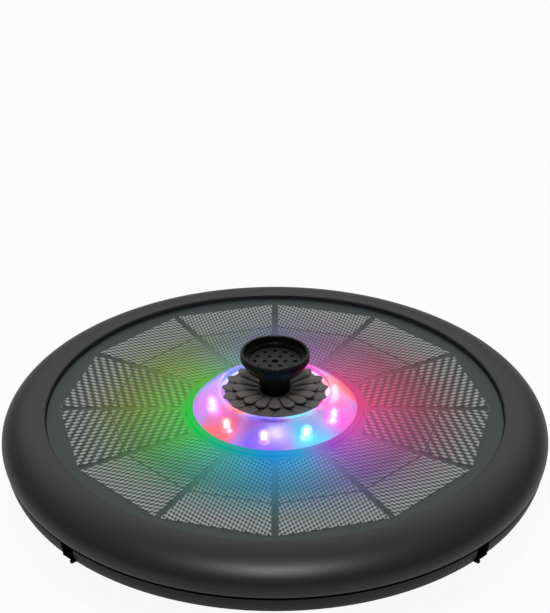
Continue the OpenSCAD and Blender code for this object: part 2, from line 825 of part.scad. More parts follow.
module lotus_rosette() {
    pitch = 360 / petal_count;
    color("#5f5e5b") difference() {
        union() {
            intersection() {
                translate([0, 0, lens_seat_z]) linear_extrude(rosette_hub_h + petal_rise_h)
                    petals(rosette_r, lower_width_share, lower_tip_share, front_angle + pitch / 2);
                rotate_extrude() polygon([
                    [0, lens_seat_z], [rosette_r, lens_seat_z],
                    [rosette_r, hub_top_z + petal_rise_h - petal_t], [0, hub_top_z - petal_t]
                ]);
            }
            intersection() {
                translate([0, 0, lens_seat_z]) linear_extrude(rosette_hub_h + petal_rise_h)
                    petals(upper_petal_r, upper_width_share, upper_tip_share, front_angle);
                rotate_extrude() polygon([
                    [0, lens_seat_z], [upper_petal_r / 2, lens_seat_z],
                    [upper_petal_r, hub_top_z + petal_rise_h - petal_t],
                    [upper_petal_r, hub_top_z + petal_rise_h], [pocket_r, hub_top_z], [0, hub_top_z]
                ]);
            }
        }
        translate([0, 0, lens_seat_z - overrun])
            cylinder(h = rosette_hub_h + 2 * overrun, r = tube_hole_r);
        translate([0, 0, pocket_z]) cylinder(h = pocket_depth_h + overrun, r = pocket_r);
    }
}

// Riser and nozzle

module riser_tube() {
    color("#1a1a1c") difference() {
        translate([0, 0, socket_z]) cylinder(h = riser_top_z - socket_z, r = riser_r);
        translate([0, 0, socket_z - overrun])
            cylinder(h = riser_top_z - socket_z + 2 * overrun, r = riser_bore_r);
        ring(riser_r + overrun, ring_seal_mid_r - ring_seal_r, ring_groove_h,
            ring_seal_z - ring_groove_h / 2);
    }
}

module riser_seal() {
    color("#1d1d1d") ring(seal_seat_r, riser_r, seal_seat_h, deck_z - seal_seat_h);
}

module nozzle_seal() {
    color("#1d1d1d") translate([0, 0, ring_seal_z]) torus(ring_seal_mid_r, ring_seal_r);
}

module nozzle_head() {
    bowl = oval(bowl_foot_r, bowl_rim_z, bowl_r - bowl_foot_r, -bowl_h, [0:bowl_step:90]);
    color("#151517") rotate_extrude() polygon(concat(
        [[neck_bore_r, neck_low_z], [neck_r, neck_low_z], [neck_r, neck_top_z]],
        bowl,
        [[rim_r, bowl_rim_z], [rim_r, rim_top_z], [rim_r - bowl_wall, rim_top_z],
            [rim_r - bowl_wall, bowl_rim_z], [plate_r + drop_in_gap, bowl_rim_z],
            [plate_r + drop_in_gap, plate_z], [plenum_r, plate_z], [plenum_r, plenum_low_z],
            [riser_bore_r, plenum_low_z], [riser_bore_r, neck_step_z], [neck_bore_r, neck_step_z]]
    ));
}

module jet_plate() {
    color("#202022") translate([0, 0, plate_z]) difference() {
        cylinder(h = plate_t, r = plate_r);
        translate([0, 0, -overrun]) {
            cylinder(h = plate_t + 2 * overrun, r = jet_mid_r);
            around(jet_inner_count) translate([jet_inner_ring_r, 0, 0])
                cylinder(h = plate_t + 2 * overrun, r = jet_r);
            around(jet_outer_count) translate([jet_outer_ring_r, 0, 0])
                cylinder(h = plate_t + 2 * overrun, r = jet_r);
        }
    }
}

// Pump

module pump_body() {
    color("#26282b") difference() {
        union() {
            on_rotor() {
                translate([0, 0, -chamber_front_y]) cylinder(h = motor_end_y + chamber_front_y, r = pump_r);
                for (x = [-1, 1]) translate([x * ear_x, 0, -chamber_front_y])
                    cylinder(h = ear_len, r = ear_r);
                translate([-ear_x, -ear_r, -chamber_front_y]) cube([2 * ear_x, 2 * ear_r, ear_len]);
            }
            intersection() {
                translate([0, 0, pump_axis_h - outlet_floor_t])
                    cylinder(h = ceiling_z - pump_axis_h + outlet_floor_t, r = outlet_r);
                translate([-outlet_r, -chamber_front_y, 0]) cube([2 * outlet_r, 2 * outlet_r, ceiling_z]);
            }
            translate([-pump_offset_x, hanger_y, ceiling_z - hanger_t]) {
                block(2 * hanger_x, 2 * hanger_r, hanger_t);
                for (x = [-1, 1]) translate([x * hanger_x, 0, hanger_t - hanger_boss_t])
                    cylinder(h = hanger_boss_t, r = hanger_r);
            }
        }
        on_rotor() {
            translate([0, 0, -chamber_front_y - overrun]) cylinder(h = chamber_len + overrun, r = chamber_r);
            translate([0, 0, rotor_y - overrun]) cylinder(h = can_len + overrun, r = can_r);
            translate([0, 0, can_end_y - overrun]) cylinder(h = bush_len + overrun, r = bush_r);
            translate([0, 0, stator_front_y])
                ring(stator_r, can_r + can_wall, motor_end_y - stator_front_y + overrun);
            for (x = [-1, 1]) translate([x * ear_x, 0, -chamber_front_y - overrun])
                cylinder(h = lid_screw_len - lid_t + overrun + pilot_gap, r = small_screw_r + pilot_gap);
        }
        translate([0, 0, pump_axis_h]) cylinder(h = ceiling_z - pump_axis_h, r = riser_bore_r);
        translate([0, 0, socket_z]) cylinder(h = socket_depth_h + overrun, r = riser_r + pilot_gap);
        for (x = [-1, 1])
            translate([-pump_offset_x + x * hanger_x, hanger_y, ceiling_z - hanger_boss_t - overrun])
                cylinder(h = hanger_boss_t + 2 * overrun, r = small_screw_r + pilot_gap);
    }
}

module pump_lid() {
    color("#2b2d30") on_rotor() translate([0, 0, -chamber_front_y - lid_t]) difference() {
        union() {
            ring(pump_r, intake_r, lid_t);
            cylinder(h = lid_t, r = lid_hub_r);
            around(spider_count, 90) translate([lid_hub_r - overrun, -spider_w / 2, 0])
                cube([intake_r - lid_hub_r + 2 * overrun, spider_w, lid_t]);
            for (x = [-1, 1]) translate([x * ear_x, 0, 0]) cylinder(h = lid_t, r = ear_r);
            for (x = [-1, 1]) translate([x * (pump_r - overrun / 2), 0, 0])
                block(ear_r + overrun, 2 * ear_r, lid_t);
        }
        translate([0, 0, lid_t - bush_len - seat_gap]) cylinder(h = bush_len + overrun, r = bush_r);
        translate([0, 0, lid_t - 2 * pump_seal_r])
            ring(pump_seal_mid_r + pump_seal_r, pump_seal_mid_r - pump_seal_r, 2 * pump_seal_r + overrun);
        for (x = [-1, 1]) translate([x * ear_x, 0, -overrun])
            cylinder(h = lid_t + 2 * overrun, r = small_screw_r + seat_gap);
    }
}

module pump_rear_cap() {
    color("#2b2d30") on_rotor() translate([0, 0, motor_end_y]) difference() {
        cylinder(h = rear_cap_t, r = pump_r);
        translate([0, -pump_lead_up_h, -overrun]) cylinder(h = rear_cap_t + 2 * overrun, r = pump_lead_r);
    }
}

module pump_seal() {
    color("#1d1d1d") on_rotor() translate([0, 0, -chamber_front_y - pump_seal_r])
        torus(pump_seal_mid_r, pump_seal_r);
}

module pump_screws() {
    color("#a7a9ac") {
        on_rotor() for (x = [-1, 1]) translate([x * ear_x, 0, -chamber_front_y - lid_t])
            screw(small_screw_r, small_head_r, small_head_t, lid_screw_len);
        for (x = [-1, 1]) translate([-pump_offset_x + x * hanger_x, hanger_y, ceiling_z - hanger_boss_t])
            screw(small_screw_r, small_head_r, small_head_t, hanger_screw_len);
    }
}

module impeller() {
    vane_low_y = -chamber_front_y + vane_gap;
    disc_y = disc_back_y - disc_t;
    sleeve_y = -chamber_front_y + sleeve_lead_len;
    color("#d9dadc") on_rotor() difference() {
        union() {
            translate([0, 0, disc_y]) cylinder(h = disc_t, r = impeller_r);
            translate([0, 0, sleeve_y]) cylinder(h = sleeve_end_y - sleeve_y, r = sleeve_r);
            around(vane_count) translate([sleeve_r - overrun, 0, vane_low_y]) rotate([0, 0, -vane_turn])
                translate([0, -vane_t / 2, 0])
                    cube([impeller_r - sleeve_r - overrun, vane_t, disc_y - vane_low_y + overrun]);
        }
        translate([0, 0, sleeve_y - overrun])
            cylinder(h = sleeve_end_y - sleeve_y + 2 * overrun, r = shaft_r + shaft_gap);
    }
}

module rotor_magnet() {
    color("#4a4a4d") on_rotor() ring(magnet_r, sleeve_r, magnet_len, magnet_y);
}

module rotor_shaft() {
    front = -chamber_front_y - bush_len;
    color("#eceae4") on_rotor() translate([0, 0, front])
        cylinder(h = can_end_y + bush_len - front - seat_gap, r = shaft_r);
}

module shaft_bushes() {
    color("#3a3a3a") on_rotor() {
        ring(bush_r, shaft_r, bush_len, -chamber_front_y - bush_len - seat_gap);
        ring(bush_r, shaft_r, bush_len, can_end_y);
    }
}

module stator_core() {
    yoke_r = stator_r - core_gap;
    color("#8a8d91") on_rotor() translate([0, 0, core_start_y]) {
        ring(yoke_r, yoke_r - core_yoke_t, core_len);
        intersection() {
            around(pole_count, 90) translate([pole_in_r, -pole_w / 2, 0])
                cube([yoke_r - core_yoke_t / 2 - pole_in_r, pole_w, core_len]);
            ring(yoke_r - core_yoke_t / 2, pole_in_r, core_len);
        }
    }
}

module stator_coils() {
    color("#b06a34") on_rotor() around(pole_count, 90)
        translate([coil_in_r, 0, core_start_y + core_len / 2]) rotate([0, 90, 0]) difference() {
            block(core_len + 2 * coil_over_len, coil_w, coil_out_r - coil_in_r - core_gap);
            block(core_len, pole_w, coil_out_r, -overrun);
        }
}

// Intake cover

module intake_cover() {
    color("#2b2b2b") difference() {
        union() {
            translate([0, 0, intake_cover_recess_h]) cylinder(h = intake_cover_t, r = cover_r);
            ring(cover_r, cover_r - skirt_t, intake_cover_t + skirt_h, intake_cover_recess_h);
            around(lug_count, -lug_angle / 2) rotate_extrude(angle = lug_angle)
                translate([cover_r - skirt_t / 2, lug_z]) square([lug_r - cover_r + skirt_t / 2, lug_t]);
            block(grip_len, grip_w, grip_h + overrun, intake_cover_recess_h - grip_h);
        }
        difference() {
            intersection() {
                translate([0, 0, intake_cover_recess_h - overrun])
                    cylinder(h = intake_cover_t + 2 * overrun, r = cover_slot_r);
                for (i = [0:cover_slot_count - 1])
                    translate([0, (i - (cover_slot_count - 1) / 2) * cover_slot_pitch_w, 0])
                        block(2 * cover_r, cover_slot_w, cover_top_z + overrun);
            }
            block(grip_len, grip_w + 2 * overrun, cover_top_z + overrun);
            block(2 * grip_w, 2 * cover_r, cover_top_z + overrun);
        }
    }
}

module intake_sponge() {
    color("#4b4d52") translate([0, 0, sponge_z]) cylinder(h = sponge_t, r = sponge_r);
}

// Battery, control board and button

module rounded_bar(w, len, t, round) {
    translate([0, len / 2, 0]) rotate([90, 0, 0]) linear_extrude(len) {
        translate([round - w / 2, 0]) square([w - 2 * round, t]);
        translate([-w / 2, round]) square([w, t - 2 * round]);
        for (x = [-1, 1], y = [round, t - round]) translate([x * (w / 2 - round), y]) circle(r = round);
    }
}

module battery_cells() {
    color("#b9bdc4") for (x = [-1, 1]) translate([x * battery_x, 0, battery_z])
        rounded_bar(battery_w, battery_len, battery_t, battery_round_r);
}

module battery_holders() {
    w = battery_w + 2 * holder_gap;
    len = battery_len + 2 * holder_gap;
    color("#3b3d40") for (x = [-1, 1]) translate([x * battery_x, 0, 0]) difference() {
        block(w + 2 * holder_wall, len + 2 * holder_wall, holder_h, floor_top_z);
        block(w, len, holder_h, battery_z);
    }
}

module control_board() {
    color("#1f6b3a") difference() {
        translate([0, control_y, 0]) block(control_w, control_len, board_t, control_low_z);
        at_corners() translate([0, 0, control_low_z - overrun])
            cylinder(h = board_t + 2 * overrun, r = small_screw_r + seat_gap);
    }
}

module board_components() {
    color("#2a2a2c") {
        for (x = [-pump_offset_x, led_lead_x])
            translate([x, control_front_y + plug_len / 2, 0])
                block(plug_w, plug_len, plug_h, control_low_z - plug_h);
        for (x = [-1, 1]) translate([x * (control_w - plug_len) / 2, control_y + side_plug_y, 0])
            block(plug_len, plug_w, plug_h, control_low_z - plug_h);
        translate([control_w / 4, control_y, 0]) block(chip_w, chip_w, chip_t, control_low_z - chip_t);
        translate([-control_w / 4, control_y, control_low_z - coil_chip_h])
            cylinder(h = coil_chip_h, r = coil_chip_r);
        translate([-control_w / 4, control_y + control_len * cap_share, control_low_z - cap_h])
            cylinder(h = cap_h, r = cap_r);
    }
}

module board_screws() {
    color("#a7a9ac") at_corners() translate([0, 0, control_low_z])
        screw(small_screw_r, small_head_r, small_head_t, board_screw_len);
}

module switch_body() {
    color("#303134") translate([0, control_y, 0]) {
        block(switch_w, switch_w, switch_t, switch_z);
        translate([0, 0, switch_z - switch_plunger_h]) cylinder(h = switch_plunger_h, r = switch_plunger_r);
    }
}

module button_cap() {
    lip_z = guide_top_z + fit_gap;
    color("#232325") translate([0, control_y, 0]) difference() {
        union() {
            translate([0, 0, button_low_z]) cylinder(h = lip_z - button_low_z + button_lip_t, r = button_r);
            translate([0, 0, lip_z]) cylinder(h = button_lip_t, r = button_lip_r);
        }
        translate([0, 0, button_low_z + button_dish_h - button_dish_r]) sphere(r = button_dish_r);
    }
}

// Leads

module panel_leads() {
    color("#b8473c") for (x = [-1, 1])
        rod([x * pin_x, pin_y, control_top_z], [x * pin_x, pin_y, deck_top_z + pin_r], pin_r);
}

module led_leads() {
    color("#c2c2c6") for (x = [-1, 1]) let (px = led_lead_x + x * led_lead_r)
        lead([[px, led_lead_y, tray_top_z], [px, led_lead_y, plug_z], [px, control_front_y, plug_z]],
            led_lead_r);
}

module pump_lead() {
    rise_y = control_front_y - plug_len - pump_lead_up_h;
    color("#1b1b1d") lead([
        [-pump_offset_x, motor_end_y, pump_lead_z],
        [-pump_offset_x, rise_y, pump_lead_z],
        [-pump_offset_x, control_front_y - plug_len, plug_z],
        [-pump_offset_x, control_front_y, plug_z]
    ], pump_lead_r);
}

module pump_grommet() {
    color("#1d1d1d") translate([-pump_offset_x, grommet_y, pump_lead_z]) rotate([-90, 0, 0])
        ring(grommet_r, pump_lead_r, grommet_len);
}

module battery_leads() {
    plug_y = control_y + side_plug_y;
    color("#b8473c") for (x = [-1, 1]) lead([
        [x * battery_lead_x, battery_len / 2, plug_z],
        [x * battery_lead_x, plug_y, plug_z],
        [x * control_w / 2, plug_y, plug_z]
    ], battery_lead_r);
}

upper_shell();
lower_shell();
seam_seal();
arm_sockets();
shell_screws();
panel_board();
inner_cells();
outer_cells();
panel_cover();
led_tray();
led_board();
leds();
led_lens();
lotus_rosette();
riser_tube();
riser_seal();
nozzle_seal();
nozzle_head();
jet_plate();
pump_body();
pump_lid();
pump_rear_cap();
pump_seal();
pump_screws();
impeller();
rotor_magnet();
rotor_shaft();
shaft_bushes();
stator_core();
stator_coils();
intake_cover();
intake_sponge();
battery_cells();
battery_holders();
control_board();
board_components();
board_screws();
switch_body();
button_cap();
panel_leads();
led_leads();
pump_lead();
pump_grommet();
battery_leads();
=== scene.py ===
"""Looks of a solar fountain pump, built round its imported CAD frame.

The float's upper shell and sockets, the panel's cover, the lens, the LEDs, the petals and the nozzle
are modelled here with Blender's edit tools. The other pieces keep the shape of their CAD nodes and
get their finishes here. Sizes are in millimetres, read from the frame where it has them, and MM turns
them into Blender's metres. The front of the fountain faces -Y.
"""

import json
import logging
import math
from contextlib import contextmanager
from dataclasses import dataclass
from enum import Enum
from typing import Any, Callable, Iterator, Sequence

import bmesh
import bpy
from mathutils import Matrix, Vector


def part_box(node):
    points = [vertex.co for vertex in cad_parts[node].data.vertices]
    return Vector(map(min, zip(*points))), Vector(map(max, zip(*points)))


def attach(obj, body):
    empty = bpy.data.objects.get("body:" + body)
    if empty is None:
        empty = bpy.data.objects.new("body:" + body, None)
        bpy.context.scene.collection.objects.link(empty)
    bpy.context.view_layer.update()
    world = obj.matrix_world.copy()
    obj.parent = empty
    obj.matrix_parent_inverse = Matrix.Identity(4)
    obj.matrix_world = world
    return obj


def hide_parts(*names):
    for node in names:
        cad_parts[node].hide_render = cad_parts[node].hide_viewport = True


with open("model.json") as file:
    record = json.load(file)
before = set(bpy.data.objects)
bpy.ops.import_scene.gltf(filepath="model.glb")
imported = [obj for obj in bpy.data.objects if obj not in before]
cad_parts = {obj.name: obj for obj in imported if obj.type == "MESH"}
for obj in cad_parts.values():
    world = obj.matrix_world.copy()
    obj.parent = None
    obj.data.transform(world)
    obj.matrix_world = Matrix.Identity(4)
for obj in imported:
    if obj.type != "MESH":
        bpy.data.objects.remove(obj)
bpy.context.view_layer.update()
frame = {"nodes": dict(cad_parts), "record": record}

LOG = logging.getLogger("fountain")
MM = 0.001
# Points closer than this are one, in metres
MERGE = 1e-6
# A point this close to a place is picked by it, in millimetres
NEAR = 0.01
# Faces of a CAD mesh that turn by less than this are one, in degrees
FLAT = 0.1
Point = tuple[float, float]
Piece = bpy.types.Object
Tree = bpy.types.NodeTree
Node = bpy.types.Node


# Modelling tools


def deselect() -> None:
    """Leaves edit mode and selects nothing, because an operator acts on all that is selected."""
    if bpy.context.object and bpy.context.object.mode != "OBJECT":
        bpy.ops.object.mode_set(mode="OBJECT")
    bpy.ops.object.select_all(action="DESELECT")


def activate(piece: Piece) -> Piece:
    """Makes one piece the only selected and active object.

    Args:
        piece: The object to work on.

    Returns:
        The same object.
    """
    deselect()
    piece.select_set(True)
    bpy.context.view_layer.objects.active = piece
    return piece


def primitive(shape: str, name: str, **settings: Any) -> Piece:
    """Adds a primitive at its size and place, and moves its place into its mesh.

    Args:
        shape: The end of the operator's name, such as "circle" or "cube".
        name: The name for the object and its mesh.
        **settings: The operator's own settings, in metres.

    Returns:
        The new object.
    """
    deselect()
    getattr(bpy.ops.mesh, f"primitive_{shape}_add")(**settings)
    piece = bpy.context.object
    piece.name = piece.data.name = name
    bpy.ops.object.transform_apply(location=True, rotation=True, scale=True)
    return piece


@contextmanager
def editing(piece: Piece) -> Iterator[None]:
    """Opens a piece in edit mode with all of it selected, and closes it again.

    Args:
        piece: The object to edit.

    Yields:
        Nothing.
    """
    activate(piece)
    bpy.ops.object.mode_set(mode="EDIT")
    bpy.ops.mesh.select_all(action="SELECT")
    yield
    bpy.ops.object.mode_set(mode="OBJECT")


class Part(Enum):
    """What a selection is made of, with the name of its sequence in a mesh."""

    VERT = "verts"
    EDGE = "edges"
    FACE = "faces"


def pick(test: Callable[[Vector], bool], kind: Part = Part.VERT) -> None:
    """Selects the parts of the edited mesh whose middle passes a test.

    Args:
        test: Takes a place in millimetres and says whether it is wanted.
        kind: What is selected.
    """
    bpy.ops.mesh.select_mode(type=kind.name)
    bpy.ops.mesh.select_all(action="DESELECT")
    shape = bmesh.from_edit_mesh(bpy.context.object.data)
    for part in getattr(shape, kind.value):
        corners = [part.co] if kind is Part.VERT else [corner.co for corner in part.verts]
        if test(sum(corners, Vector()) / len(corners) / MM):
            part.select_set(True)
    bmesh.update_edit_mesh(bpy.context.object.data)


def close_up(piece: Piece) -> Piece:
    """Merges doubled points and turns all faces outwards.

    Args:
        piece: The object to clean.

    Returns:
        The same object.
    """
    with editing(piece):
        bpy.ops.mesh.remove_doubles(threshold=MERGE)
        bpy.ops.mesh.dissolve_degenerate(threshold=MERGE)
        bpy.ops.mesh.select_all(action="SELECT")
        bpy.ops.mesh.normals_make_consistent(inside=False)
    return piece


def smooth(piece: Piece, degrees: float = 32) -> Piece:
    """Shades a piece smooth, apart from its edges sharper than an angle.

    Args:
        piece: The object to shade.
        degrees: The angle past which an edge stays sharp.

    Returns:
        The same object.
    """
    activate(piece)
    bpy.ops.object.shade_smooth_by_angle(angle=math.radians(degrees))
    return piece


def modify(piece: Piece, kind: str, **settings: Any) -> Piece:
    """Adds a modifier and applies it.

    Args:
        piece: The object to change.
        kind: The modifier's type.
        **settings: The modifier's own settings.

    Returns:
        The same object.
    """
    activate(piece)
    modifier = piece.modifiers.new(kind.title(), kind)
    for key, value in settings.items():
        setattr(modifier, key, value)
    bpy.ops.object.modifier_apply(modifier=modifier.name)
    return piece


def carve(piece: Piece, *tools: Piece) -> Piece:
    """Cuts other objects out of a piece and removes them.

    Args:
        piece: The object to cut.
        *tools: The objects that are cut away.

    Returns:
        The cut object.
    """
    for tool in tools:
        modify(piece, "BOOLEAN", object=tool, operation="DIFFERENCE", solver="EXACT")
        bpy.data.objects.remove(tool)
    return piece


def join(name: str, pieces: Sequence[Piece]) -> Piece:
    """Joins objects into one and names it.

    Args:
        name: The name for the joined object.
        pieces: The objects to join.

    Returns:
        The joined object.
    """
    deselect()
    for piece in pieces:
        piece.select_set(True)
    bpy.context.view_layer.objects.active = pieces[0]
    bpy.ops.object.join()
    joined = bpy.context.object
    joined.name = joined.data.name = name
    return joined


def twin(piece: Piece, name: str, place: Matrix) -> Piece:
    """Copies a piece with its own mesh, moved to a new place.

    Args:
        piece: The object to copy.
        name: The name for the copy.
        place: The move, which goes into the mesh.

    Returns:
        The copy.
    """
    copy = piece.copy()
    copy.data = piece.data.copy()
    copy.name = copy.data.name = name
    copy.parent = None
    bpy.context.scene.collection.objects.link(copy)
    copy.data.transform(place)
    return copy


def around(piece: Piece, name: str, angles: Sequence[float]) -> list[Piece]:
    """Copies a piece to several angles round the fountain's axis, and removes the first one.

    Args:
        piece: The object to copy, modelled at angle 0, towards +X.
        name: The start of the copies' names.
        angles: The angles in degrees.

    Returns:
        The copies.
    """
    copies = [
        twin(piece, f"{name}_{number}", Matrix.Rotation(math.radians(angle), 4, "Z"))
        for number, angle in enumerate(angles, 1)
    ]
    bpy.data.objects.remove(piece)
    return copies


def round_angles(count: int, first: float) -> list[float]:
    """Gives equally spaced angles, in degrees, from a first one."""
    return [first + number * 360 / count for number in range(count)]


def oval(middle: Point, across: float, up: float, start: float, end: float, steps: int) -> list[Point]:
    """Lists points along part of an oval, whose angle is 0 at its top and 90 at its outer side.

    Args:
        middle: The oval's middle.
        across: Its half width.
        up: Its half height.
        start: The first angle in degrees.
        end: The last angle in degrees.
        steps: How many stretches it has.

    Returns:
        The points as (radius, height).
    """
    angles = [math.radians(start + (end - start) * n / steps) for n in range(steps + 1)]
    return [(middle[0] + across * math.sin(a), middle[1] + up * math.cos(a)) for a in angles]


def soften(section: Sequence[Sequence[float]], steps: int = 4) -> list[Point]:
    """Rounds the corners of a section that have a third number, their radius.

    Args:
        section: Points as (radius, height) or (radius, height, rounding).
        steps: How many stretches each round corner has.

    Returns:
        The points with the round corners drawn out.
    """
    points: list[Point] = []
    for number, corner in enumerate(section):
        if len(corner) < 3:
            points.append((corner[0], corner[1]))
            continue
        here = Vector(corner[:2])
        before = Vector(section[number - 1][:2]) - here
        after = Vector(section[(number + 1) % len(section)][:2]) - here
        before.normalize()
        after.normalize()
        half = before.angle(after) / 2
        reach = corner[2] / math.tan(half)
        middle = here + (before + after).normalized() * corner[2] / math.sin(half)
        first = here + before * reach - middle
        turn = first.angle_signed(here + after * reach - middle)
        for step in range(steps + 1):
            spot = middle + Matrix.Rotation(-turn * step / steps, 2) @ first
            points.append((spot.x, spot.y))
    return points


def lathe(name: str, section: Sequence[Point], steps: int = 96) -> Piece:
    """Turns a closed section once round the fountain's axis.

    Args:
        name: The name for the piece.
        section: The closed section as (radius, height) in millimetres.
        steps: How many stretches the round has.

    Returns:
        The turned piece.
    """
    piece = primitive("circle", name, vertices=len(section), radius=MM, fill_type="NOTHING")
    with editing(piece):
        bpy.ops.mesh.select_mode(type="VERT")
        for number, (radius, height) in enumerate(section):
            bpy.ops.mesh.select_all(action="DESELECT")
            shape = bmesh.from_edit_mesh(piece.data)
            shape.verts.ensure_lookup_table()
            corner = shape.verts[number]
            corner.select_set(True)
            bpy.ops.transform.translate(value=Vector((radius, 0, height)) * MM - corner.co)
        bpy.ops.mesh.select_all(action="SELECT")
        bpy.ops.mesh.spin(
            steps=steps, angle=math.tau, center=(0, 0, 0), axis=(0, 0, 1), use_auto_merge=True,
        )
    return close_up(piece)


def polish(node: str, name: str, degrees: float = 32) -> Piece:
    """Copies a CAD node's mesh, merges it and shades it smooth.

    Args:
        node: The CAD node's name.
        name: The name for the copy.
        degrees: The angle past which an edge stays sharp.

    Returns:
        The copy.
    """
    copy = twin(frame["nodes"][node], name, Matrix.Identity(4))
    for key in list(copy.keys()):
        del copy[key]
    activate(copy)
    if copy.data.has_custom_normals:
        bpy.ops.mesh.customdata_custom_splitnormals_clear()
    close_up(copy)
    with editing(copy):
        bpy.ops.mesh.dissolve_limited(angle_limit=math.radians(FLAT))
    return smooth(copy, degrees)


# Materials


def linear(code: str) -> tuple[float, float, float, float]:
    """Turns an sRGB hex colour into Blender's linear one.

    Args:
        code: The colour as "#rrggbb".

    Returns:
        Red, green, blue and an alpha of 1.
    """
    parts = [int(code[at:at + 2], 16) / 255 for at in (1, 3, 5)]
    return (*[p / 12.92 if p <= 0.04045 else ((p + 0.055) / 1.055) ** 2.4 for p in parts], 1.0)


def blank(store: Any, name: str) -> tuple[Any, Tree]:
    """Makes a material or a world with an empty node tree.

    Args:
        store: Where Blender keeps its kind, such as bpy.data.materials.
        name: Its name.

    Returns:
        The material or world, and its node tree.
    """
    made = store.new(name)
    made.use_nodes = True
    made.node_tree.nodes.clear()
    return made, made.node_tree


def feed(tree: Tree, node: Node, *values: Any, **named: Any) -> None:
    """Sets a node's inputs, or links them to what feeds them.

    Args:
        tree: The node tree.
        node: The node.
        *values: For its first inputs in order, a value, or the socket or node that feeds each.
        **named: The same for inputs by name, with "_" for each space.
    """
    in_order = zip([socket for socket in node.inputs if socket.enabled], values)
    by_name = [(node.inputs[key.replace("_", " ")], value) for key, value in named.items()]
    for socket, value in [*in_order, *by_name]:
        if isinstance(value, Node):
            value = next(output for output in value.outputs if output.enabled)
        if isinstance(value, bpy.types.NodeSocket):
            tree.links.new(value, socket)
        else:
            socket.default_value = value


def add(tree: Tree, kind: str, *values: Any, stops: Sequence[tuple[float, str]] = (), **named: Any) -> Node:
    """Adds one node with its settings, its values and its links.

    Args:
        tree: The node tree.
        kind: The node's type without its "ShaderNode", and its operation after a space.
        *values: What its first inputs hold, in order.
        stops: Places from 0 to 1 with their sRGB hex colours, for a colour ramp.
        **named: Its own settings, and what an input holds under a name with a capital letter.

    Returns:
        The node.
    """
    type_name, _, operation = kind.partition(" ")
    node = tree.nodes.new(f"ShaderNode{type_name}")
    if operation:
        node.operation = operation
    for key in [key for key in named if key[0].islower()]:
        setattr(node, key, named.pop(key))
    while stops and len(node.color_ramp.elements) < len(stops):
        node.color_ramp.elements.new(0.5)
    for number, (place, code) in enumerate(sorted(stops)):
        node.color_ramp.elements[number].position = place
        node.color_ramp.elements[number].color = linear(code)
    feed(tree, node, *values, **named)
    return node


def place_mm(tree: Tree) -> Node:
    """Gives the place on the object in millimetres, from its Object coordinates."""
    return add(tree, "VectorMath SCALE", add(tree, "TexCoord").outputs["Object"], 1 / MM)


def polar(tree: Tree) -> tuple[Node, Node]:
    """Gives each point's place round the fountain's axis.

    Args:
        tree: The node tree.

    Returns:
        The nodes that give the radius in millimetres and the angle in degrees from +X.
    """
    x, y, _ = add(tree, "SeparateXYZ", place_mm(tree)).outputs
    turn = add(tree, "Math DEGREES", add(tree, "Math ARCTAN2", y, x))
    return add(tree, "VectorMath LENGTH", add(tree, "CombineXYZ", x, y)), turn


def by_angle(tree: Tree, angle: Node, colours: Sequence[tuple[float, str]]) -> Node:
    """Gives a colour for each direction round the fountain.

    Args:
        tree: The node tree.
        angle: The angle in degrees, from -180 to 180.
        colours: Angles in degrees with their sRGB hex colours.

    Returns:
        The node that gives the colour.
    """
    share = add(tree, "Math MULTIPLY_ADD", angle, 1 / 360, 0.5)
    return add(tree, "ValToRGB", share, stops=[((at + 180) / 360, code) for at, code in colours])


def by_led(tree: Tree, angle: Node, spread: float = 11.0, mixed: bool = True) -> Node:
    """Gives the colour of the nearest LED.

    Args:
        tree: The node tree.
        angle: The angle in degrees, from -180 to 180.
        spread: How far to each side of an LED its own colour reaches, in degrees.
        mixed: Whether the light half way between two LEDs is the mixed one.

    Returns:
        The node that gives the colour.
    """
    stops: list[tuple[float, str]] = []
    for number, code in enumerate(LED_COLOURS):
        at = -180 + number * LED_PITCH
        stops += [(max(at - spread, -180), code), (at + spread, code)]
        if mixed:
            stops.append((at + LED_PITCH / 2, MIXED_LIGHT))
    stops += [(180 - spread, LED_COLOURS[0]), (180, LED_COLOURS[0])]
    return by_angle(tree, angle, stops)


class Gloss(float, Enum):
    """How shiny a moulded plastic comes out of its tool, as a roughness."""

    MATT = 0.55
    SATIN = 0.42
    GLOSSY = 0.35


# The light that the LEDs throw over the panel, close to them and far out, by direction.
# Angles are in degrees from +X, and -90 faces the viewer.
PANEL_NEAR = (
    (-180, "#18c832"), (-148, "#16c84c"), (-118, "#0eaaa4"), (-92, "#0a96e4"), (-74, "#2aa4dc"),
    (-52, "#a050d0"), (-25, "#dc4cae"), (5, "#e83c82"), (45, "#cc4488"), (90, "#5a6ab4"),
    (140, "#5aae30"), (180, "#18c832"),
)
PANEL_FAR = (
    (-180, "#a8a838"), (-145, "#58b450"), (-115, "#38a09a"), (-90, "#38a6c0"), (-55, "#8a6cb8"),
    (-20, "#c0587e"), (20, "#c4586c"), (90, "#8080a8"), (140, "#98a850"), (180, "#a8a838"),
)
# The nine LEDs' own colours, from -180 degrees on, and the lilac where their light mixes
LED_COLOURS = (
    "#cc3cec", "#ff3c1c", "#6c38f0", "#30d0ff", "#f428cc", "#ff3e26", "#ec30bc", "#5240ff", "#6c4cff",
)
MIXED_LIGHT = "#a880f0"
LED_PITCH = 360 / len(LED_COLOURS)
# The angle of the LED nearest the viewer, and the radius of the circle that all of them stand on
LED_FIRST = -100.0
LED_CIRCLE = 31.0


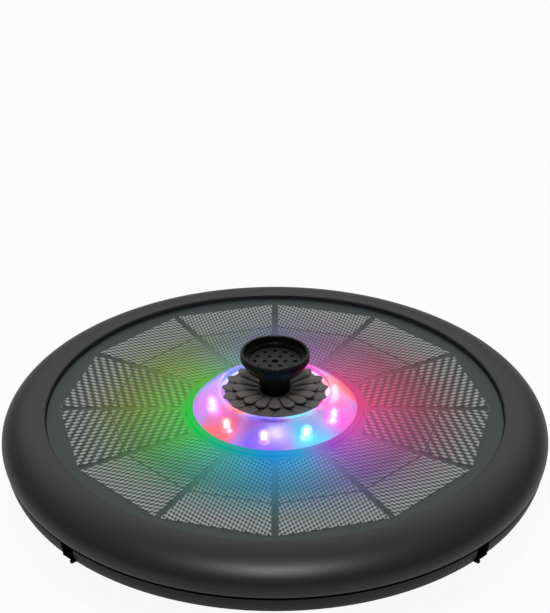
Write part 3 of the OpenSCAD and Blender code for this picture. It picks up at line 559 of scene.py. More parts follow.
@dataclass(frozen=True)
class Finish:
    """One material: its name, colour and surface.

    A subclass fills in dress, which gets the Principled shader and adds what its material shows.
    """

    name: str
    colour: str
    roughness: float = Gloss.SATIN
    metallic: float = 0.0
    ior: float = 1.5

    def build(self) -> bpy.types.Material:
        """Makes the material, or gives the one already made.

        Returns:
            The material.
        """
        made = bpy.data.materials.get(f"finish_{self.name}")
        if made:
            return made
        material, tree = blank(bpy.data.materials, f"finish_{self.name}")
        shader = add(
            tree, "BsdfPrincipled",
            Base_Color=linear(self.colour), Roughness=self.roughness, Metallic=self.metallic, IOR=self.ior,
        )
        add(tree, "OutputMaterial", Surface=self.dress(tree, shader))
        return material

    def dress(self, tree: Tree, shader: Node) -> Node:
        """Adds the material's pattern.

        Args:
            tree: The node tree.
            shader: Its Principled shader.

        Returns:
            The node that gives the surface.
        """
        return shader

    def mottle(self, tree: Tree, shader: Node, size: float, strength: float, drawn: Any = None) -> None:
        """Varies the colour a little over patches.

        Args:
            tree: The node tree.
            shader: The shader whose colour varies.
            size: The patches' size in millimetres.
            strength: The share by which the lightest patch is lighter.
            drawn: The node that gives a pattern's colour, if it isn't the finish's own.
        """
        cloud = add(tree, "TexNoise", Vector=place_mm(tree), Scale=1 / size)
        light = add(tree, "Math MULTIPLY_ADD", cloud, 2 * strength, 1 - strength)
        grey = add(tree, "CombineXYZ", light, light, light)
        own = linear(self.colour) if drawn is None else drawn
        feed(tree, shader, add(tree, "Mix", 1.0, own, grey, data_type="RGBA", blend_type="MULTIPLY"))

    def raise_relief(self, tree: Tree, shader: Node, height: Node, depth: float) -> None:
        """Gives the surface a relief.

        Args:
            tree: The node tree.
            shader: The shader to change.
            height: The node that gives the relief's height, from 0 to 1.
            depth: Its depth in millimetres.
        """
        feed(tree, shader, Normal=add(tree, "Bump", Height=height, Distance=depth * MM))

    def roughen(self, tree: Tree, shader: Node, size: float, depth: float, spread: float) -> None:
        """Gives the surface a fine relief and uneven gloss.

        Args:
            tree: The node tree.
            shader: The shader to change.
            size: The relief's grain in millimetres.
            depth: Its depth in millimetres.
            spread: How far the roughness goes up and down.
        """
        grain = add(tree, "TexNoise", Vector=place_mm(tree), Scale=1 / size, Detail=3.0)
        self.raise_relief(tree, shader, grain, depth)
        low = self.roughness - spread
        feed(tree, shader, Roughness=add(tree, "Math MULTIPLY_ADD", grain, 2 * spread, low, use_clamp=True))


@dataclass(frozen=True)
class MouldedPlastic(Finish):
    """Injection-moulded plastic or rubber: an even colour with a fine sparked grain from the tool.

    The real grain is about 0.1 mm wide. It is drawn 0.6 mm wide, as fine as it still shows.

    Attributes:
        grain: The width of the tool's grain.
        depth: How deep the grain is.
        patches: The size of the faint patches in which the plastic flowed.
        variation: The share by which those patches differ in lightness.
        unevenness: How far the roughness goes up and down with the grain.
    """

    grain: float = 0.6
    depth: float = 0.012
    patches: float = 18.0
    variation: float = 0.05
    unevenness: float = 0.05

    def dress(self, tree: Tree, shader: Node) -> Node:
        """Adds the tool's grain and the faint flow patches of the moulding.

        Args:
            tree: The node tree.
            shader: Its Principled shader.

        Returns:
            The node that gives the surface.
        """
        self.mottle(tree, shader, self.patches, self.variation)
        self.roughen(tree, shader, self.grain, self.depth, self.unevenness)
        return shader


@dataclass(frozen=True)
class GlowingBoard(MouldedPlastic):
    """Solder-masked board of the panel, with the LEDs' light falling on it and fading outwards.

    Attributes:
        near: The radius up to which the light is full.
        far: The radius at which it has faded.
        fall: The power by which it fades.
        strength: How bright it is.
        tint: How soon its colour takes over the surface's own.
    """

    near: float = 45.0
    far: float = 104.0
    fall: float = 1.3
    strength: float = 0.8
    tint: float = 3.0

    def dress(self, tree: Tree, shader: Node) -> Node:
        """Adds the light of the LEDs to the board's own colour.

        Args:
            tree: The node tree.
            shader: Its Principled shader.

        Returns:
            The node that gives the surface.
        """
        super().dress(tree, shader)
        self.glow(tree, shader)
        return shader

    def glow(self, tree: Tree, shader: Node, weight: Any = 1.0) -> None:
        """Lights the surface by direction and by distance from the LED ring.

        Args:
            tree: The node tree.
            shader: The shader to light.
            weight: A factor on the light, a number or a node.
        """
        radius, angle = polar(tree)
        reach = add(tree, "MapRange", radius, self.near, self.far, 1.0, 0.0)
        fade = add(tree, "Math MULTIPLY", add(tree, "Math POWER", reach, self.fall), self.strength)
        colours = [by_angle(tree, angle, colours) for colours in (PANEL_FAR, PANEL_NEAR)]
        colour = add(tree, "Mix", add(tree, "Math POWER", reach, 2.0), *colours, data_type="RGBA")
        # close to the LEDs their light outshines the room's, so little of the grey is left
        own = shader.inputs["Base Color"].links[0].from_socket
        tint = add(tree, "Math MULTIPLY", fade, self.tint, use_clamp=True)
        feed(
            tree, shader, Emission_Color=colour, Emission_Strength=add(tree, "Math MULTIPLY", fade, weight),
            Base_Color=add(tree, "Mix", tint, own, colour, data_type="RGBA", blend_type="MULTIPLY"),
        )


@dataclass(frozen=True)
class CellMesh(GlowingBoard):
    """Laminated solar cells under a light printed mesh with small dark openings.

    The openings are about 1.8 mm apart across a sector and 2.8 mm along it. They are drawn wider
    apart in the sectors at the fountain's sides, where a flat view would blur them into grey.

    Attributes:
        light: The mesh's colour.
        dark: The openings' colour.
        pitches: How far apart the openings are, across a sector and along it.
        side_pitches: The same at the fountain's sides.
        side_dark: How much smaller the openings get there, in heights of a wave.
        side_power: How quickly that grows towards the sides.
        sector: The angle of one sector in degrees.
        lean: How far a row shifts along from one opening to the next, in pitches.
        edge: The heights of a wave between which an opening turns into mesh.
        dark_glow: The share of the LEDs' light that an opening shows.
        light_glow: How much more of it the mesh shows.
    """

    light: str = "#aeb1ae"
    dark: str = "#262b2b"
    pitches: tuple[float, float] = (1.8, 2.8)
    side_pitches: tuple[float, float] = (3.0, 4.6)
    side_dark: float = 0.6
    side_power: float = 4.0
    sector: float = 30.0
    lean: float = 1 / 3
    edge: tuple[float, float] = (0.8, -0.6)
    patches: float = 14.0
    dark_glow: float = 0.6
    light_glow: float = 0.5

    def dress(self, tree: Tree, shader: Node) -> Node:
        """Draws the openings along each sector's own direction, and adds the LEDs' light.

        Args:
            tree: The node tree.
            shader: Its Principled shader.

        Returns:
            The node that gives the surface.
        """
        radius, angle = polar(tree)
        number = add(tree, "Math FLOOR", add(tree, "Math DIVIDE", angle, self.sector))
        middle = add(tree, "Math MULTIPLY_ADD", number, self.sector, self.sector / 2)
        turn = add(tree, "Math RADIANS", add(tree, "Math SUBTRACT", angle, middle))
        across = add(tree, "Math MULTIPLY", radius, add(tree, "Math SINE", turn))
        along = add(tree, "Math MULTIPLY", radius, add(tree, "Math COSINE", turn))
        facing = add(tree, "Math COSINE", add(tree, "Math RADIANS", middle))
        side = add(tree, "Math POWER", facing, self.side_power)
        steps = [
            add(tree, "Math DIVIDE", place, add(tree, "Math MULTIPLY_ADD", side, wide - narrow, narrow))
            for place, narrow, wide in zip((across, along), self.pitches, self.side_pitches)
        ]
        # the mesh leans the other way in every second sector
        odd = add(tree, "Math FLOORED_MODULO", number, 2.0)
        lean = add(tree, "Math MULTIPLY_ADD", odd, 2 * self.lean, -self.lean)
        row = add(tree, "Math MULTIPLY_ADD", steps[0], lean, steps[1])
        turns = [add(tree, "Math MULTIPLY", place, math.tau) for place in (steps[0], row)]
        waves = [add(tree, "Math COSINE", turn) for turn in turns]
        height = add(tree, "Math MULTIPLY_ADD", side, self.side_dark, add(tree, "Math ADD", *waves))
        ink = add(tree, "MapRange", height, *self.edge, interpolation_type="SMOOTHSTEP")
        colour = add(tree, "Mix", ink, linear(self.dark), linear(self.light), data_type="RGBA")
        self.mottle(tree, shader, self.patches, self.variation, colour)
        self.glow(tree, shader, add(tree, "Math MULTIPLY_ADD", ink, self.light_glow, self.dark_glow))
        return shader


@dataclass(frozen=True)
class LitTray(MouldedPlastic):
    """Reflector plastic and board under the lens, lit up round each LED.

    Attributes:
        reach: How far an LED's patch of light reaches.
        rim: The radius past which the tray is its lit rim.
        rim_light: How much brighter that rim is.
        patch_light: How much brighter a patch is in its middle.
        floor_light: How bright all of it is.
    """

    reach: float = 11.0
    rim: float = 43.2
    rim_light: float = 0.6
    patch_light: float = 0.4
    floor_light: float = 0.28

    def dress(self, tree: Tree, shader: Node) -> Node:
        """Adds a patch of light round each LED on a fainter glow all round.

        Args:
            tree: The node tree.
            shader: Its Principled shader.

        Returns:
            The node that gives the surface.
        """
        super().dress(tree, shader)
        radius, angle = polar(tree)
        turned = add(tree, "Math SUBTRACT", angle, LED_FIRST - LED_PITCH / 2)
        share = add(tree, "Math FRACT", add(tree, "Math DIVIDE", turned, LED_PITCH))
        turn = add(tree, "Math MULTIPLY", add(tree, "Math SUBTRACT", share, 0.5), math.radians(LED_PITCH))
        side = add(tree, "Math MULTIPLY", turn, LED_CIRCLE)
        out = add(tree, "Math SUBTRACT", radius, LED_CIRCLE)
        away = add(tree, "VectorMath LENGTH", add(tree, "CombineXYZ", side, out))
        patch = add(
            tree, "MapRange", away, 0.0, self.reach, self.patch_light, 0.0, interpolation_type="SMOOTHSTEP",
        )
        rim = add(tree, "Math GREATER_THAN", radius, self.rim)
        base = add(tree, "Math MULTIPLY_ADD", rim, self.rim_light, self.floor_light)
        colours = by_led(tree, angle), by_angle(tree, angle, PANEL_NEAR)
        feed(
            tree, shader, Emission_Strength=add(tree, "Math ADD", patch, base),
            Emission_Color=add(tree, "Mix", rim, *colours, data_type="RGBA"),
        )
        return shader


@dataclass(frozen=True)
class ClearPlastic(Finish):
    """Moulded clear polycarbonate: it shows what is behind it and has sharp highlights.

    Lamps reach through it to what is inside, as they do through the real one. Its flange is bonded
    to the dark rim of the tray, so it isn't clear there and only carries light in its edge.

    Attributes:
        glow: How much light shows in its wall.
        gleam: How strong its mirror image is, where 0.5 is the full one.
        shade: The share of the lamps' light that it lets through, as a colour.
        flange: The radius past which it is the flange.
    """

    glow: float = 0.0
    gleam: float = 0.25
    shade: str = "#a8a6ae"
    flange: float = 41.8
    flange_colour: str = "#14181b"
    flange_glow: float = 0.85
    flange_roughness: float = 0.45
    flange_ior: float = 1.25

    def dress(self, tree: Tree, shader: Node) -> Node:
        """Makes the slope clear with a faint light in its wall, and the flange dark and lit.

        Args:
            tree: The node tree.
            shader: Its Principled shader.

        Returns:
            The node that gives the surface.
        """
        radius, angle = polar(tree)
        feed(
            tree, shader, Transmission_Weight=1.0, Specular_IOR_Level=self.gleam,
            Emission_Color=by_led(tree, angle), Emission_Strength=self.glow,
        )
        shadow = add(tree, "LightPath").outputs["Is Shadow Ray"]
        clear = add(tree, "MixShader", shadow, shader, add(tree, "BsdfTransparent", linear(self.shade)))
        flange = add(
            tree, "BsdfPrincipled", Base_Color=linear(self.flange_colour), IOR=self.flange_ior,
            Roughness=self.flange_roughness, Emission_Strength=self.flange_glow,
            Emission_Color=by_angle(tree, angle, PANEL_NEAR),
        )
        return add(tree, "MixShader", add(tree, "Math GREATER_THAN", radius, self.flange), clear, flange)


@dataclass(frozen=True)
class Film(Finish):
    """Clear cast resin over the cells: a thin even haze, almost without a mirror image."""

    cover: float = 0.04

    def dress(self, tree: Tree, shader: Node) -> Node:
        """Lets most of what is below show through."""
        feed(tree, shader, Alpha=self.cover)
        return shader


@dataclass(frozen=True)
class LampGlow(Finish):
    """What is lit inside an LED: nearly white in the middle, its own colour at its edge."""

    white: float = 0.0
    strength: float = 1.0
    clear: float = 0.0
    spread: float = 18.0

    def dress(self, tree: Tree, shader: Node) -> Node:
        """Lights the surface in the colour of its direction.

        Args:
            tree: The node tree.
            shader: Its Principled shader.

        Returns:
            The node that gives the surface.
        """
        _, angle = polar(tree)
        own = by_led(tree, angle, self.spread, mixed=False)
        colour = add(tree, "Mix", self.white, own, linear("#ffffff"), data_type="RGBA")
        feed(tree, shader, Emission_Color=colour, Emission_Strength=self.strength)
        feed(tree, shader, Transmission_Weight=self.clear)
        return shader


@dataclass(frozen=True)
class Metal(Finish):
    """Plated or bare metal with fine scratches or a drawn grain.

    Real scratches are finer. They are drawn half a millimetre wide, so that they show.
    """

    metallic: float = 1.0
    grain: float = 0.5
    depth: float = 0.006
    patches: float = 3.0
    variation: float = 0.08

    def dress(self, tree: Tree, shader: Node) -> Node:
        """Adds the grain and uneven gloss.

        Args:
            tree: The node tree.
            shader: Its Principled shader.

        Returns:
            The node that gives the surface.
        """
        self.mottle(tree, shader, self.patches, self.variation)
        self.roughen(tree, shader, self.grain, self.depth, self.variation)
        return shader


@dataclass(frozen=True)
class Foam(Finish):
    """Open-cell polyurethane foam, whose pores are about a millimetre wide."""

    pore: float = 1.2
    depth: float = 0.4
    hollow: str = "#17181a"
    strand: str = "#6a6d72"

    def dress(self, tree: Tree, shader: Node) -> Node:
        """Draws the pores as dark hollows.

        Args:
            tree: The node tree.
            shader: Its Principled shader.

        Returns:
            The node that gives the surface.
        """
        cells = add(tree, "TexVoronoi", Vector=place_mm(tree), Scale=1 / self.pore)
        stops = (0.1, self.hollow), (0.55, self.colour), (0.9, self.strand)
        feed(tree, shader, add(tree, "ValToRGB", cells, stops=stops))
        self.raise_relief(tree, shader, cells, self.depth)
        return shader


@dataclass(frozen=True)
class WoundCopper(Finish):
    """Enamelled copper wire, wound in turns about half a millimetre apart."""

    metallic: float = 1.0
    turn: float = 0.55
    depth: float = 0.12
    patches: float = 2.0
    variation: float = 0.12

    def dress(self, tree: Tree, shader: Node) -> Node:
        """Draws the turns as ridges.

        Args:
            tree: The node tree.
            shader: Its Principled shader.

        Returns:
            The node that gives the surface.
        """
        self.mottle(tree, shader, self.patches, self.variation)
        place = add(tree, "SeparateXYZ", place_mm(tree)).outputs["Y"]
        ridge = add(tree, "Math SINE", add(tree, "Math MULTIPLY", place, math.tau / self.turn))
        self.raise_relief(tree, shader, ridge, self.depth)
        return shader


# Sparked black ABS, moulded: a satin crown with one soft broad highlight
SHELL = MouldedPlastic("shell_black_abs", "#1a1a1b", Gloss.SATIN)
# The same ABS, duller from a coarser tool; its colour is made darker than the crown's as painted shade
# below the seam
SHELL_BASE_SHADED = MouldedPlastic("shell_base_abs", "#121213", Gloss.MATT, ior=1.42)
# Moulded black nitrile rubber, made darker still and without any shine as painted shade: a black line in
# the seam and round the pipes
SEAL_AND_SHADE = MouldedPlastic("seal_rubber", "#060606", 0.8, ior=1.15)
# Moulded black nylon, dull and made nearly black as painted shade, so that the pockets under the seam read
# as dark openings
SOCKET_SHADED = MouldedPlastic("socket_nylon", "#070708", 0.75, ior=1.2)
# Zinc-plated steel, cold headed: small grey points with a blurred shine
STEEL = Metal("screw_zinc_steel", "#a9abad", 0.32)
# Glass-fibre board with dark solder mask: an even slate grey, with the LEDs' light painted over it as glow
# and tint
BOARD = GlowingBoard("panel_board_mask", "#2f3837", Gloss.MATT)
# Laminated silicon cells under printed mesh: light threads round small dark openings
CELLS = CellMesh("solar_cell_mesh", "#6f7472", 0.5)
# Cast epoxy resin: a thin haze that makes the panel one flat face, nearly without a mirror image
COVER = Film("panel_cast_resin", "#6a7678", Gloss.GLOSSY)
# Moulded light ABS, given a darker grey as painted shade under the lens: it shows the LEDs' light painted
# on in patches of colour
TRAY_GLOW_AND_SHADE = LitTray("reflector_grey_abs", "#4c4a54", 0.4)
# Moulded clear polycarbonate: soft edges of light, and what is below shines through
LENS = ClearPlastic("lens_clear_polycarbonate", "#f4f1fb", 0.26, ior=1.45, glow=0.26)
# Cast epoxy dome of an LED: clear, with a faint light of its own colour in it
LED_DOME = LampGlow("led_epoxy_dome", "#ffffff", 0.1, ior=1.3, white=0.05, strength=0.8, clear=1.0)
# The lit chip and its cup: so bright that it looks nearly white
LED_CORE = LampGlow("led_lit_core", "#ffffff", 0.4, white=0.7, strength=1.5)
# Moulded dark grey ABS, eroded tool: matt petals whose grain takes the light evenly
ROSETTE = MouldedPlastic("petal_grey_abs", "#625f5c", Gloss.MATT, grain=0.8, depth=0.02, variation=0.08)
# Black ABS from a polished tool: deep black with a narrow shine on its rim
NOZZLE = MouldedPlastic("nozzle_polished_abs", "#0e0e0f", 0.28, ior=1.3, grain=1.5, depth=0.002)
# The same ABS with a sparked face: duller than the bowl, so the jets' holes stand out
JETS = MouldedPlastic("jet_plate_matt_abs", "#111112", 0.6)
# Moulded grey polypropylene: slightly waxy and even
PUMP = MouldedPlastic("pump_grey_pp", "#2b2d30", Gloss.SATIN)
# Moulded acetal: milky white with a soft shine
IMPELLER = MouldedPlastic("impeller_white_pom", "#d9dadc", Gloss.SATIN)
# Sintered ferrite, ground: charcoal grey, between stone and metal
FERRITE = Metal("magnet_ferrite", "#3c3c3f", 0.5, 0.4)
# Ground and polished alumina: ivory white, with a hard clear highlight
CERAMIC = Finish("shaft_alumina", "#eceae4", 0.2, ior=1.76)
# Stamped silicon steel sheets: bare grey metal
CORE = Metal("core_laminations", "#8a8d91", 0.4)
# Wound enamelled copper wire: warm orange ridges that shine along the turns
COPPER = WoundCopper("coil_enamelled_copper", "#b06a34", 0.3)
# Open-cell polyurethane foam: dark pores between lighter strands, and no shine
FOAM = Foam("filter_foam", "#3c3e42", 0.9)
# Shrunk PVC wrap on the cells: silvery grey and smooth, a little uneven
BATTERY = MouldedPlastic("battery_wrap", "#b9bdc4", 0.3, variation=0.1)
# Green solder mask, silk-screened and cured: glossy, with the board's weave faint below
CIRCUIT = MouldedPlastic("circuit_solder_mask", "#1f6b3a", Gloss.GLOSSY, grain=1.2)
# Transfer-moulded epoxy: charcoal black and satin
COMPONENT = MouldedPlastic("component_epoxy", "#222224", Gloss.SATIN)
# Moulded silicone rubber: soft black that looks slightly dusty
BUTTON = MouldedPlastic("button_silicone", "#232325", Gloss.MATT)
# Extruded PVC insulation, in three colours: smooth, with a long narrow highlight
RED_WIRE = MouldedPlastic("wire_red_pvc", "#b03a30", Gloss.GLOSSY)
GREY_WIRE = MouldedPlastic("wire_grey_pvc", "#b9b9bd", Gloss.GLOSSY)
BLACK_WIRE = MouldedPlastic("wire_black_pvc", "#1b1b1d", Gloss.GLOSSY)


# Pieces


@dataclass(frozen=True)
class Extent:
    """How far a round CAD node reaches from the fountain's axis, and its heights."""

    reach: float
    low: float
    high: float


def extent(node: str) -> Extent:
    """Reads a CAD node's extent from the frame, in millimetres to three decimals."""
    low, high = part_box(node)
    return Extent(*(round(size / MM, 3) for size in (high[0], low[2], high[2])))


# The bore that takes a retaining arm's pin, as the record gives it
ARM_PIN = next(mount["dims"] for mount in frame["record"]["mounts"] if mount["kind"] == "bore")
# The gap round the panel and round the lens, and the radius of the hole for the riser
PLAY = 0.4
RISER_HOLE = 6.3


@dataclass
class Assembly:
    """What every sub-assembly shares: how a finished piece is dressed and tied to its body."""

    body: str = "float"

    def dress(self, piece: Piece, finish: Finish, slot: str, *nodes: str) -> Piece:
        """Gives a new piece its material and body, and hides the CAD nodes that it replaces.

        Args:
            piece: The finished object.
            finish: Its finish.
            slot: The record's material slot; not used.
            *nodes: The CAD nodes that it replaces.

        Returns:
            The same object.
        """
        piece.data.materials.clear()
        piece.data.materials.append(finish.build())
        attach(piece, self.body)
        if nodes:
            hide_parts(*nodes)
        faces = len(piece.data.polygons)
        LOG.info("%s rides on %s, finish %s, %d faces", piece.name, self.body, finish.name, faces)
        return piece

    def paint(self, finish: Finish, *nodes: str) -> None:
        """Gives CAD nodes that stay their finish.

        Args:
            finish: The finish.
            *nodes: The nodes' names.
        """
        for node in nodes:
            for holder in frame["nodes"][node].material_slots:
                holder.material = finish.build()
            LOG.info("%s keeps its CAD mesh, finish %s", node, finish.name)


@dataclass
class FloatRing(Assembly):
    """The hollow float: upper and lower shell, seam seal, arm sockets and screws."""

    outer: float = extent("upper_shell").reach
    crest: float = extent("upper_shell").high
    lip: float = extent("panel_cover").reach + PLAY
    lip_round: float = 1.0
    drop: float = 10.8
    equator: float = extent("panel_cover").high - drop
    seam: float = 1.55
    seam_top: float = extent("seam_seal").low + seam
    seam_round: float = 0.3
    tuck: float = 0.7
    wall: float = 2.2
    deck: float = extent("lower_shell").high
    skirt_step: float = 0.1
    socket_in: float = 126.0
    socket_out: float = 137.2
    socket_width: float = 8.8
    socket_low: float = extent("arm_sockets").low
    socket_top: float = extent("arm_sockets").high
    socket_rim: float = 0.7
    socket_bevel: float = 0.3
    pocket_depth: float = 4.0
    pin_sides: int = 32
    nub: float = 1.6
    nub_out: float = 138.8
    nub_bevel: float = 0.25
    steps: int = 192

    def upper_section(self) -> list[Point]:
        """Draws the section through the upper shell, from its middle hole outwards over the crown.

        Returns:
            The closed section.
        """
        crown = self.lip + self.lip_round
        across, up = self.outer - crown, self.crest - self.equator
        side = [
            (self.outer - self.tuck * s * s, self.equator - (self.equator - self.seam_top) * s)
            for s in (0.2, 0.4, 0.6, 0.8, 1.0)
        ]
        skirt = self.lip + self.wall
        floor = self.deck + self.wall
        inner = oval((crown, self.equator), across - self.wall, up - self.wall, 90, 10, 16)
        return soften([
            (RISER_HOLE, self.deck), (RISER_HOLE, floor), (self.lip, floor),
            *oval((crown, self.crest - self.lip_round), self.lip_round, self.lip_round, -90, -15, 5),
            *oval((crown, self.equator), across, up, 0, 90, 32),
            *side[:-1], (*side[-1], self.seam_round), (self.outer - self.tuck - self.wall, self.seam_top),
            *inner, (skirt, inner[-1][1] - self.skirt_step), (skirt, self.deck),
        ])

    def socket(self, name: str, side: int) -> Piece:
        """Shapes one arm socket at +X: a block with an open pocket, a bore for a pin, and a nub.

        Args:
            name: Its name.
            side: 1 or -1, for the end of the block that has the nub.

        Returns:
            The socket.
        """
        low = Vector((self.socket_in, -self.socket_width / 2, self.socket_low))
        high = Vector((self.socket_out, self.socket_width / 2, self.socket_top))
        middle = (low + high) / 2
        block = primitive("cube", name, size=MM)
        with editing(block):
            bpy.ops.transform.resize(value=high - low, center_override=(0, 0, 0))
            bpy.ops.transform.translate(value=middle * MM)
            pick(lambda spot: spot.x > self.socket_out - NEAR, Part.FACE)
            bpy.ops.mesh.inset(thickness=self.socket_rim * MM)
            bpy.ops.transform.translate(value=(-self.pocket_depth * MM, 0, 0))
            pick(lambda spot: abs(spot.x - self.socket_out) < NEAR, Part.EDGE)
            bpy.ops.mesh.bevel(offset=self.socket_bevel * MM, segments=2)
        floor = Vector((self.socket_out - self.pocket_depth, 0, middle.z))
        carve(block, primitive(
            "cylinder", "pin_bore", vertices=self.pin_sides, radius=ARM_PIN["r_mm"] * MM,
            depth=ARM_PIN["length_mm"] * MM, location=floor * MM, rotation=(0, math.pi / 2, 0),
        ))
        nub = primitive("cube", "nub", size=self.nub * MM)
        with editing(nub):
            pick(lambda spot: spot.x > 0, Part.FACE)
            bpy.ops.mesh.extrude_region_move(TRANSFORM_OT_translate={"value": (self.nub * MM, 0, 0)})
            bpy.ops.mesh.select_all(action="SELECT")
            bpy.ops.mesh.bevel(offset=self.nub_bevel * MM, segments=2)
            bpy.ops.mesh.select_all(action="SELECT")
            bpy.ops.transform.translate(value=Vector((
                self.nub_out - self.nub * 1.5, side * (high.y - self.nub / 2), low.z + self.nub / 2,
            )) * MM)
        return smooth(close_up(join(name, [block, nub])))

    def make(self) -> None:
        """Builds the ring and its sockets and dresses its CAD nodes."""
        upper = lathe("float_upper_shell", self.upper_section(), self.steps)
        self.dress(smooth(upper), SHELL, "shell_top", "upper_shell")
        lower = polish("lower_shell", "float_lower_shell")
        # the lower shell's darker colour is painted shade
        self.dress(lower, SHELL_BASE_SHADED, "shell_base", "lower_shell")
        # the seam seal's near-black is painted shade of its groove
        self.paint(SEAL_AND_SHADE, "seam_seal")
        # the sockets' near-black is painted shade in their pockets
        for name, side, angles in (("right", -1, (-45, 45)), ("left", 1, (-135, 135))):
            for piece in around(self.socket("socket", side), f"arm_socket_{name}", angles):
                self.dress(piece, SOCKET_SHADED, "socket_plastic", "arm_sockets")
        self.paint(STEEL, "shell_screws")


@dataclass
class SolarPanel(Assembly):
    """The round panel: board, two rows of cells and the clear cover over them.

    Seen through the real resin, the cells look about two millimetres higher than they lie. The
    cover here doesn't bend the light, so the cells and the board's face are lifted to where they
    show, and the cover starts a hair above them.
    """

    lift: float = 2.1
    hair: float = 0.2
    inner: float = extent("led_lens").reach + PLAY
    outer: float = extent("panel_cover").reach
    low: float = extent("inner_cells").high + lift + hair
    top: float = extent("panel_cover").high
    edge: float = 0.3
    face: float = extent("panel_board").low + 0.8
    steps: int = 144

    def raised(self, node: str, name: str, above: float = 0.0) -> Piece:
        """Copies a CAD node and lifts what lies above a height.

        Args:
            node: The CAD node's name.
            name: The name for the copy.
            above: The height in millimetres.

        Returns:
            The copy.
        """
        piece = polish(node, name)
        with editing(piece):
            pick(lambda spot: spot.z > above)
            bpy.ops.transform.translate(value=(0, 0, self.lift * MM))
        return piece

    def make(self) -> None:
        """Dresses the board and the cells and lays the cover over them."""
        board = self.raised("panel_board", "panel_base_board", self.face)
        self.dress(board, BOARD, "panel_backing", "panel_board")
        self.dress(self.raised("inner_cells", "solar_cells_inner"), CELLS, "solar_cell", "inner_cells")
        self.dress(self.raised("outer_cells", "solar_cells_outer"), CELLS, "solar_cell", "outer_cells")
        section = soften([
            (self.inner, self.low), (self.outer, self.low),
            (self.outer, self.top, self.edge), (self.inner, self.top, self.edge),
        ])
        cover = lathe("panel_clear_cover", section, self.steps)
        self.dress(smooth(cover), COVER, "panel_glaze", "panel_cover")


@dataclass
class LightRing(Assembly):
    """The LEDs on their board and tray, under the clear lens."""

    led_radius: float = 2.5
    led_low: float = extent("leds").low
    led_high: float = extent("leds").high
    core_radius: float = 1.0
    core_foot: float = 2.2
    core_low: float = led_low + core_foot
    core_head: float = 1.4
    core_high: float = led_high - core_head
    led_steps: int = 32
    flange: float = extent("led_lens").reach
    flange_low: float = extent("led_lens").low
    flange_top: float = 50.8
    flange_round: float = 0.5
    foot: float = 42.0
    foot_inside: float = 40.0
    top: float = 28.5
    top_z: float = extent("led_lens").high
    top_round: float = 0.25
    seat: float = 27.8
    seat_round: float = 0.2
    seat_z: float = extent("lotus_rosette").low
    plate_z: float = 58.0
    bulge: float = 0.9
    steps: int = 144

    def slope(self, start: Point, end: Point, steps: int = 20) -> list[Point]:
        """Draws one bulged slope of the lens.

        Args:
            start: Its foot.
            end: Its top.
            steps: How many stretches it has.

        Returns:
            The points.
        """
        wide, high = end[0] - start[0], end[1] - start[1]
        return [
            (start[0] + wide * s, start[1] + high * s + 4 * self.bulge * s * (1 - s))
            for s in [n / steps for n in range(steps + 1)]
        ]

    def lens(self) -> Piece:
        """Turns the lens with its flange, slope and recessed plate.

        Returns:
            The lens.
        """
        outside = self.slope((self.foot, self.flange_top), (self.top, self.top_z))
        inside = self.slope((self.seat, self.plate_z), (self.foot_inside, self.flange_low))
        section = soften([
            (self.flange, self.flange_low), (self.flange, self.flange_top, self.flange_round),
            *outside[:-1], (*outside[-1], self.top_round), (self.seat, self.top_z, self.seat_round),
            (self.seat, self.seat_z), (RISER_HOLE, self.seat_z), (RISER_HOLE, self.plate_z), *inside,
        ])
        return smooth(lathe("led_lens_ring", section, self.steps))

    def led(self, radius: float, low: float, high: float, name: str) -> Piece:
        """Turns one round-topped body and puts it on the LED ring, towards +X.

        Args:
            radius: Its radius.
            low: The height of its foot.
            high: The height of its top.
            name: Its name.

        Returns:
            The body.
        """
        dome = oval((0, high - radius), radius, radius, 90, 0, 10)
        body = lathe(name, [(0, low), (radius, low), *dome], self.led_steps)
        with editing(body):
            bpy.ops.transform.translate(value=(LED_CIRCLE * MM, 0, 0))
        return smooth(body)

    def make(self) -> None:
        """Builds the LEDs and the lens, and dresses the tray and its board."""
        angles = round_angles(len(LED_COLOURS), LED_FIRST)
        for name, finish, radius, low, high in (
            ("led_dome", LED_DOME, self.led_radius, self.led_low, self.led_high),
            ("led_core", LED_CORE, self.core_radius, self.core_low, self.core_high),
        ):
            for piece in around(self.led(radius, low, high, name), name, angles):
                self.dress(piece, finish, "led_glow", "leds")
        self.dress(self.lens(), LENS, "lens_clear", "led_lens")
        # the tray's darker grey is painted shade, and its glow is painted LED light
        self.dress(polish("led_tray", "led_reflector_tray"), TRAY_GLOW_AND_SHADE, "tray_plastic", "led_tray")
        self.dress(polish("led_board", "led_ring_board"), TRAY_GLOW_AND_SHADE, "board_white", "led_board")


@dataclass(frozen=True)
class PetalShape:
    """The sizes of one tier's petal, which points towards +X.

    Attributes:
        root: The radius where it starts.
        shoulder: The radius past which it narrows to its tip.
        reach: The radius of its tip.
        widest: The most that its half width may be.
        root_top: The height of its top at the root.
        reach_top: The height of its top at the shoulder.
        droop: How far the tip hangs below that.
        arch: How far its sides lie below its middle.
        thick: Its thickness.
        fill: The share of its place in the ring that it fills.
        bluntness: The power of its tip's outline: 1 is pointed, 3 is blunt.
        crease: The power of its cross-section: 1 is creased along the middle, 2 is round.
    """

    root: float
    shoulder: float
    reach: float
    widest: float
    root_top: float
    reach_top: float
    droop: float
    arch: float
    thick: float
    fill: float
    bluntness: float
    crease: float


